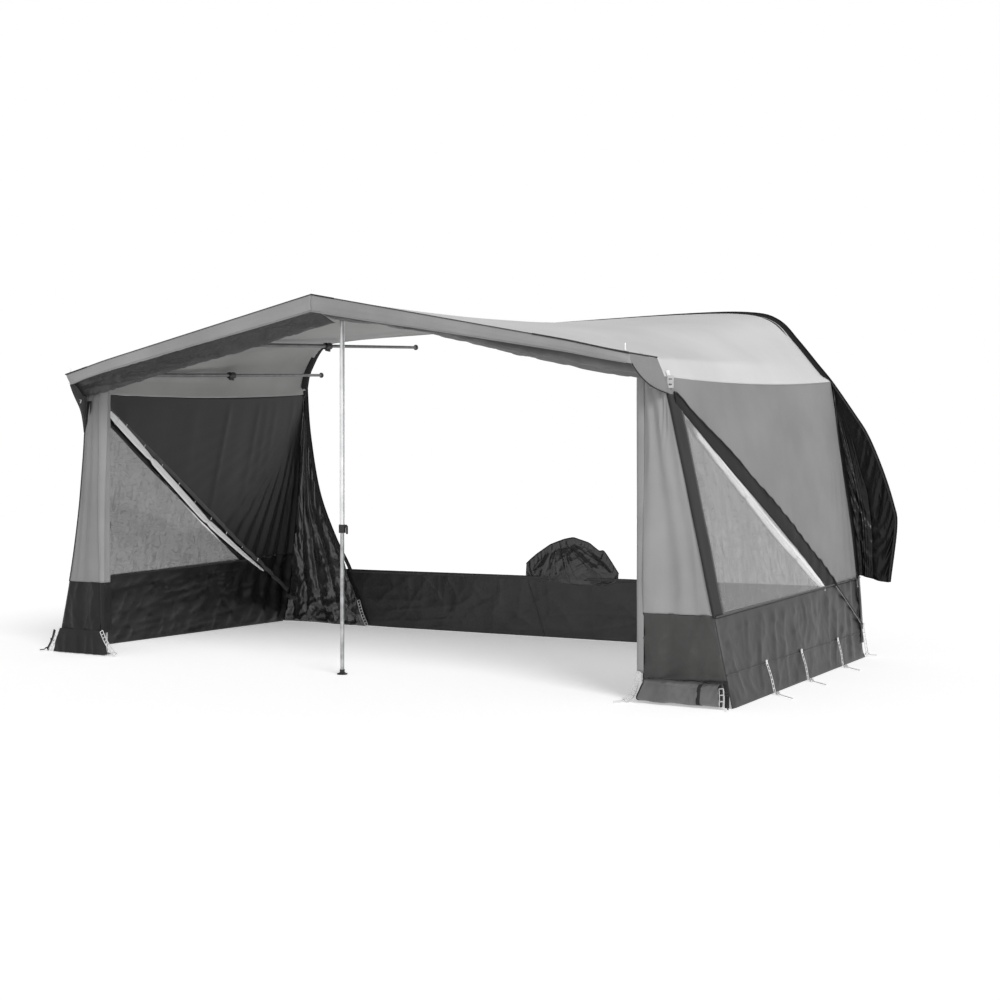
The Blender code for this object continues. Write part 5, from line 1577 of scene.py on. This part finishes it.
def buildWheelCover():
    shape = np.array(wheelCut["shares"])
    s = np.linspace(0, 1, 90)[None, :]
    high = np.interp(s[0], shape[:, 0], shape[:, 1])
    relax(high, 2)
    v = np.linspace(0, 1, 56)[:, None]
    foot = cut["skirtHeight"] - 0.05
    z = mix(foot, mix(cut["skirtHeight"], cut["wheelTop"], high[None, :]), v)
    x = cut["wheelCentre"] + cut["wheelHalf"] * (2 * s - 1) + 0 * v
    swell = wheelCut["swell"] * np.sin(math.pi * v ** 0.8) * np.sin(math.pi * np.clip(s, 0.02, 0.98)) ** 0.7
    # creases fan from the cover's upper left down to its right
    dx, dz = x - (cut["wheelCentre"] - 0.12), cut["wheelTop"] + 0.03 - z
    turn, reach = np.arctan2(dx, np.maximum(dz, 1e-3)), np.hypot(dx, dz)
    fan = creases(turn * 4.2, reach * 1.5, 141, 4) + 0.6 * creases(turn * 9, reach * 3, 143, 4)
    lump = 0.35 * folds(x, z, 25, 0.05, 0.2, 145, 2)
    slack = np.sin(math.pi * np.clip(v, 0, 0.97))
    creased = wheelCut["crease"] * (fan + lump - 0.7) * slack * np.sin(math.pi * s) ** 0.4
    y = wheelCut["plane"] - swell - creased
    grid = np.stack([x, y, z], -1)
    pins = np.zeros(grid.shape[:2], bool)
    pins[[0, -1]] = True
    pins[:, [0, -1]] = True
    sheetPiece("wheel_cover_cloth", grid, ["coatedWheel"], (0, -1, 0), ["wheel_cover"],
               pins=pins, settling=wheelCut["settling"])
    edge = grid[-1] + np.array([0, -0.002, 0.001])
    cord = sweepMesh(edge, roundProfile(wheelCut["edge"]))
    joinPiece("wheel_cover_edge", [(cord, "piping")])


buildSkirt()
buildWheelCover()
stage("skirt and wheel cover made")


# Poles, uprights and their fittings: the CAD pieces stay and get their finish

def finishFrame():
    for name, obj in frame["nodes"].items():
        if "upper_tube" in name:
            key = "steel"
        elif "lower_tube" in name:
            key = "steelInner"
        # roof poles and beams get the darker steel copy, painted shade
        elif "tube" in name or "beam" in name:
            key = "steelPaintedShade"
        elif "clamp" in name or "foot" in name or "bracket" in name:
            key = "nylonBlack"
        else:
            continue
        obj.data.materials.clear()
        obj.data.materials.append(finishes[key])


clampCut = {
    "profile": [(0.0205, -0.034), (0.0245, -0.031), (0.026, -0.02), (0.0235, 0.0), (0.026, 0.02),
                (0.0245, 0.031), (0.0205, 0.034), (0.0205, -0.034)],
    "lever": (0.014, 0.016, 0.05), "leverOut": 0.030, "leverTilt": 8, "ear": (0.014, 0.020, 0.018),
    "earPlace": (0.026, 0, 0.012), "bevel": 0.003, "back": 0.03, "tubeRadius": 0.02,
}


def poleAxis(name):
    # a roof pole's direction towards its rear end, read from its joint
    joint = next(item for item in frame["joints"] if item["name"] == name + "_length")
    axis = -np.array(joint["axis"], float)
    return axis / np.linalg.norm(axis)


def buildFittings():
    # black lever clamps on the roof poles, where the tubes slide in each other
    for name in frame["nodes"]:
        if not name.startswith("roof_pole") or not name.endswith("front_tube"):
            continue
        pole = name[:-len("_front_tube")]
        axis = poleAxis(pole)
        low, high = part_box(name)
        # the collar sits at the front tube's rear end; the box's corner there is one radius outside its axis
        radius, slanted = clampCut["tubeRadius"], abs(axis[0]) > 1e-3
        rear = np.array([high.x if axis[0] > 0 else low.x, high.y, high.z]) - site
        centre = rear - axis * clampCut["back"]
        centre = centre - np.array([math.copysign(radius, axis[0]) if slanted else 0, 0, radius])
        if not slanted:
            centre[0] = (low.x + high.x) / 2 - site[0]
        lever = blockMesh("lever", clampCut["lever"], clampCut["bevel"])
        tilt = Matrix.Rotation(math.radians(clampCut["leverTilt"]), 4, "Y")
        lever.transform(Matrix.Translation((clampCut["leverOut"], 0, 0)) @ tilt)
        ear = blockMesh("ear", clampCut["ear"], clampCut["bevel"])
        ear.transform(Matrix.Translation(clampCut["earPlace"]))
        turn = turnTo(Vector(axis).cross(Vector((1, 0, 0))), axis)
        meshes = (turnedMesh(clampCut["profile"], "z", 18), lever, ear)
        parts = [(moved(mesh, centre, turn), "nylonBlack") for mesh in meshes]
        joinPiece(pole + "_clamp", parts)


# Tips of the beam pins, which stand up through the canopy's eyelets

spikeCut = {"profile": [(0, 0), (0.007, 0), (0.007, 0.004), (0.0042, 0.006), (0.0038, 0.0336),
                        (0.0022, 0.0399), (0, 0.042)],
            "inset": 0.012, "corner": 0.03, "sunk": 0.002, "eyelet": 0.004}


def buildSpikes():
    parts = []
    y = -cut["canopyReach"] + spikeCut["inset"]
    spots = [(0, y, cut["peakHeight"] - spikeCut["sunk"])]
    for side, sign in sides.items():
        x = cut["eaveHalf"] - spikeCut["corner"]
        spots.append((sign * x, y, gable(side, x) - spikeCut["sunk"]))
    for spot in spots:
        parts.append((moved(turnedMesh(spikeCut["profile"], "z", 10), spot), "steel"))
        parts.append((moved(eyeletPart.copy(), np.add(spot, (0, 0, spikeCut["eyelet"]))), "steel"))
    joinPiece("canopy_spikes", parts)


# Straps, pegging ladders and pegs

ladderCut = {"width": 0.030, "rail": 0.006, "thick": 0.0022, "rungGap": 0.021, "pegLift": 0.012,
             "pegRadius": 0.0036, "pegLength": {"left": 0.085, "right": 0.15}, "tab": (0.006, 0.022, 0.026)}
pegPlaces = [-1.94, -1.35, -0.645]  # along each wall
legStraps = {
    # the ladder at a leg's inner foot, the webbing at its outer foot, and the way its inner peg lies
    "left": {"inner": [(-1.943, -2.545, 0.164), (-1.89, -2.55, 0.09), (-1.817, -2.545, 0.012)],
             "outer": [(-2.405, -2.53, 0.15), (-2.43, -2.53, 0.08), (-2.478, -2.53, 0.008)],
             "lie": (-0.4, -1, 0)},
    "right": {"inner": [(1.972, -2.528, 0.155), (1.955, -2.56, 0.045), (1.925, -2.595, 0.006)],
              "outer": [(2.462, -2.555, 0.145), (2.474, -2.565, 0.08), (2.478, -2.575, 0.010)],
              "lie": (-0.7, -1, 0)},
    "webbing": (0.024, 0.002), "buckle": (0.032, 0.007, 0.022), "beside": -0.028,
}
rungPart = blockMesh("rung", (0.006, 0.022, 0.0022), 0.0006)


def ladderMeshes(path, facing):
    # a moulded strap with slots: two rails and the rungs between them
    path = np.asarray(path, float)
    tangent = np.gradient(path, axis=0)
    across = np.cross(tangent, np.asarray(facing, float))
    across /= np.linalg.norm(across, axis=1, keepdims=True)
    gap = (ladderCut["width"] - ladderCut["rail"]) / 2
    length = np.linalg.norm(np.diff(path, axis=0), axis=1).sum()
    rail = flatProfile(ladderCut["rail"], ladderCut["thick"])
    rungs = max(3, int(length / ladderCut["rungGap"]))
    parts = [(sweepMesh(path + across * gap * k, rail, facing), "ladder") for k in (-1, 1)]
    return [*parts, (repeatMesh(path, rungs, rungPart, facing, "thread"), "ladder")]


def pegMesh(head, towards, length):
    # a bent wire peg: a hook over the strap, a shank that lies out along the ground
    lift = ladderCut["pegLift"]
    head, towards = np.array(head, float), np.array(towards, float) / np.linalg.norm(towards)
    up = np.array([0, 0, 1.0])
    points = [head - towards * 0.012 + up * 0.004, head - towards * 0.010 + up * lift,
              head + up * (lift + 0.004), head + towards * 0.012 + up * lift,
              head + towards * 0.02 + up * 0.004,
              head + towards * length + up * 0.002]
    return sweepMesh(smoothPath(points, 6), roundProfile(ladderCut["pegRadius"], 6), (0.3, 0.2, 1))


def smoothPath(points, steps):
    points = np.array(points, float)
    padded = np.concatenate([[2 * points[0] - points[1]], points, [2 * points[-1] - points[-2]]])
    path = [curvePoint(*padded[k:k + 4], n / steps) for k in range(len(padded) - 3) for n in range(steps)]
    return np.array([*path, points[-1]])


def buildStraps():
    # ladders along the walls' pegging seams, each with a white tab above and a peg at its foot
    for side, sign in sides.items():
        parts = []
        for y in pegPlaces:
            top = onWall(side, y, mudCut["turnUp"] + 0.008, 0.010)
            foot = onWall(side, y, 0.006, 0.030)
            bend = foot + np.array([sign * 0.03, 0.006 if side == "left" else -0.03, -0.003])
            path = smoothPath([top, mix(top, foot, 0.5) + np.array([sign * 0.004, 0, 0]), foot, bend], 7)
            parts += ladderMeshes(path, (sign, 0, 0.15))
            parts.append((moved(blockMesh("tab", ladderCut["tab"], 0.002), top), "nylonWhite"))
            lie = (sign, 0.25, 0) if side == "left" else (1, -0.9, 0)
            parts.append((pegMesh(bend, lie, ladderCut["pegLength"][side]), "nylonWhite"))
        # the strap and ladder at the wall's rear corner
        top, foot = onWall(side, -0.085, 0.19, 0.012), onWall(side, -0.05, 0.012, 0.02)
        parts += ladderMeshes(smoothPath([top, mix(top, foot, 0.5), foot], 8), (sign, -0.3, 0.1))
        parts.append((pegMesh(foot, (sign, 0.4, 0), 0.06), "ladder"))
        joinPiece("pegging_ladders_" + side, parts)
    # ladders and black webbing at the legs' feet
    for side, sign in sides.items():
        spec = legStraps[side]
        parts = ladderMeshes(smoothPath(spec["inner"], 8), (0, -1, 0.3))
        parts.append((pegMesh(spec["inner"][-1], spec["lie"], 0.07), "ladder"))
        outer = smoothPath(spec["outer"], 8)
        parts.append((sweepMesh(outer, flatProfile(*legStraps["webbing"]), (0, -1, 0.2)), "webbing"))
        buckle = blockMesh("buckle", legStraps["buckle"], 0.002, [(0, 0, 0.022, 0.007)])
        turn = turnTo((1, 0, 0), outer[0] - outer[-1])
        parts.append((moved(buckle, outer[len(outer) // 2], turn), "nylonBlack"))
        parts.append((pegMesh(outer[-1], (sign * 0.5, -1, 0), 0.05), "webbing"))
        beside = outer + np.array([legStraps["beside"] * sign, -0.004, 0])
        parts += ladderMeshes(beside[len(beside) // 3:], (0, -1, 0.2))
        joinPiece("leg_straps_" + side, parts)


trimCut = {
    # the two-slot buckle beside the right seam and the small ring next to it
    "tab": (0.036, 0.004, 0.066), "tabSlots": [(0, 0.014, 0.020, 0.009), (0, -0.014, 0.020, 0.009)],
    "tabHeight": 1.675, "strapHeights": (1.705, 1.72, 1.735), "strap": (0.018, 0.0015),
    "ringRadius": 0.011, "ringThick": 0.002, "ringPlace": (2.045, -2.535, 1.655), "ringTurn": 80,
    # the white buckle on the left end
    "square": (0.026, 0.006, 0.026), "squareSlot": [(0, 0, 0.014, 0.008)],
    "squarePlace": (-2.085, -2.60, 1.708), "squareTurn": 20,
    # the strap at the left flap's foot and the ladder at its inner corner
    "flapStrap": [(-2.395, -0.075, 0.245), (-2.33, -0.09, 0.215), (-2.245, -0.10, 0.20)],
    "flapLadder": [(-1.613, -0.085, 0.21), (-1.57, -0.10, 0.11), (-1.513, -0.11, 0.012)],
    "flapStrapSize": (0.03, 0.002),
}


def buildTrimmings():
    y = -cut["legPlane"] + 0.03
    tab = blockMesh("tab", trimCut["tab"], 0.0015, trimCut["tabSlots"])
    tab = moved(tab, onWall("right", y, trimCut["tabHeight"], 0.012), turnTo((0.8, 0.6, 0), (0.12, 0.0, 1)))
    strap = np.array([onWall("right", y, z, 0.010) for z in trimCut["strapHeights"]])
    radius, thick = trimCut["ringRadius"], trimCut["ringThick"]
    ring = turnedMesh([(radius + thick * math.cos(a), thick * math.sin(a))
                       for a in np.linspace(0, math.tau, 9)], "z", 20)
    ring = moved(ring, trimCut["ringPlace"], Matrix.Rotation(math.radians(trimCut["ringTurn"]), 4, "X"))
    strap = sweepMesh(strap, flatProfile(*trimCut["strap"]), (0.6, -0.8, 0))
    parts = [(tab, "acetal"), (strap, "nylonWhite"), (ring, "acetal")]
    joinPiece("corner_buckle_right", parts)
    square = blockMesh("square", trimCut["square"], 0.002, trimCut["squareSlot"])
    turn = Matrix.Rotation(math.radians(trimCut["squareTurn"]), 4, "Y")
    square = moved(square, trimCut["squarePlace"], turn)
    joinPiece("corner_buckle_left", [(square, "nylonWhite")])
    strap = smoothPath(trimCut["flapStrap"], 8)
    parts = [(sweepMesh(strap, flatProfile(*trimCut["flapStrapSize"]), (0, -1, 0)), "strap")]
    parts += ladderMeshes(smoothPath(trimCut["flapLadder"], 8), (0, -1, 0.2))
    joinPiece("rear_flap_straps_left", parts)


finishFrame()
buildFittings()
buildSpikes()
buildStraps()
buildTrimmings()
stage("frame and fittings made")


# Stage: pale floor, soft light, camera at the photograph's angle

studio = {
    "floorHalf": 40, "floorGlow": 0.35,
    # brightness of the surroundings at the horizon and overhead, and away from the lamp and on its side
    "horizon": 0.85, "overhead": 0.14, "away": 0.7, "lampSide": 1.2, "brightWall": (0.8, -0.6, 0.0),
    "lamp": 1.75, "lampAngle": 25, "lampDirection": (-0.8, 0.55, -0.7),
}


def buildStage():
    floor = bpy.data.meshes.new("floor")
    half = studio["floorHalf"]
    floor.from_pydata([(-half, -half, 0), (half, -half, 0), (half, half, 0), (-half, half, 0)], [],
                      [(0, 1, 2, 3)])
    material, tree, shader, _ = startMaterial("studio_floor")
    finishes["floor"] = material
    shader.inputs["Base Color"].default_value = toLinear("#FFFFFF")
    shader.inputs["Roughness"].default_value = 0.9
    shader.inputs["Specular IOR Level"].default_value = 0.0
    # lit from below like a studio table, so that it stays white where nothing shades it
    shader.inputs["Emission Color"].default_value = toLinear("#FFFFFF")
    shader.inputs["Emission Strength"].default_value = studio["floorGlow"]
    obj = addPiece("floor", floor, ["floor"])
    obj.location.z = -0.001

    world = bpy.data.worlds.new("studio")
    bpy.context.scene.world = world
    world.use_nodes = True
    tree = world.node_tree
    tree.nodes.clear()
    path = addNode(tree, "ShaderNodeLightPath")
    seen = addNode(tree, "ShaderNodeMath", {"operation": "MAXIMUM"},
                   {"i0": path.outputs["Is Camera Ray"], "i1": path.outputs["Is Glossy Ray"]})
    seen = addNode(tree, "ShaderNodeMath", {"operation": "MAXIMUM"},
                   {"i0": seen.outputs["Value"], "i1": path.outputs["Is Transmission Ray"]})
    # white walls all round and a darker ceiling
    direction = addNode(tree, "ShaderNodeTexCoord").outputs["Generated"]
    height = addNode(tree, "ShaderNodeSeparateXYZ", Vector=direction)
    glow = addNode(tree, "ShaderNodeMapRange", None,
                   {"Value": height.outputs["Z"], "To Min": studio["horizon"], "To Max": studio["overhead"]})
    # the wall behind the lamp is the brighter one
    towards = addNode(tree, "ShaderNodeVectorMath", {"operation": "DOT_PRODUCT"},
                      {"i0": direction, "i1": studio["brightWall"]})
    lean = addNode(tree, "ShaderNodeMapRange", None,
                   {"Value": towards.outputs["Value"], "From Min": -1.0, "To Min": studio["away"],
                    "To Max": studio["lampSide"]})
    strength = addNode(tree, "ShaderNodeMath", {"operation": "MULTIPLY"},
                       {"i0": glow.outputs["Result"], "i1": lean.outputs["Result"]})
    dim = addNode(tree, "ShaderNodeBackground", Color=toLinear("#FFFFFF"), Strength=strength.outputs["Value"])
    white = addNode(tree, "ShaderNodeBackground", Color=toLinear("#FFFFFF"), Strength=1.0)
    both = addNode(tree, "ShaderNodeMixShader", None,
                   {"i0": seen.outputs["Value"], "i1": dim.outputs[0], "i2": white.outputs[0]})
    addNode(tree, "ShaderNodeOutputWorld", None, {"Surface": both.outputs[0]})

    sun = bpy.data.lights.new("key", "SUN")
    sun.energy = studio["lamp"]
    sun.angle = math.radians(studio["lampAngle"])
    lamp = bpy.data.objects.new("key", sun)
    lamp.rotation_euler = Vector(studio["lampDirection"]).to_track_quat("-Z", "Y").to_euler()
    bpy.context.scene.collection.objects.link(lamp)


# level, with its focal length and its horizon in pixels of a square frame
eye = {"right": 4.8745, "back": -9.012, "height": 1.11, "turn": 30, "focalPx": 1345, "horizonPx": 490,
       "framePx": 1000}


def placeCamera():
    lens = bpy.data.cameras.new("camera")
    lens.sensor_width = 36
    lens.lens = eye["focalPx"] / eye["framePx"] * lens.sensor_width
    lens.shift_y = -(eye["framePx"] / 2 - eye["horizonPx"]) / eye["framePx"]
    camera = bpy.data.objects.new("camera", lens)
    camera.location = Vector((eye["right"], eye["back"], eye["height"])) + Vector(site)
    camera.rotation_euler = (math.radians(90), 0, math.radians(eye["turn"]))
    bpy.context.scene.collection.objects.link(camera)
    bpy.context.scene.camera = camera


buildStage()
placeCamera()
bpy.context.scene.view_settings.view_transform = "Standard"

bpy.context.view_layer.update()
stage("finished")
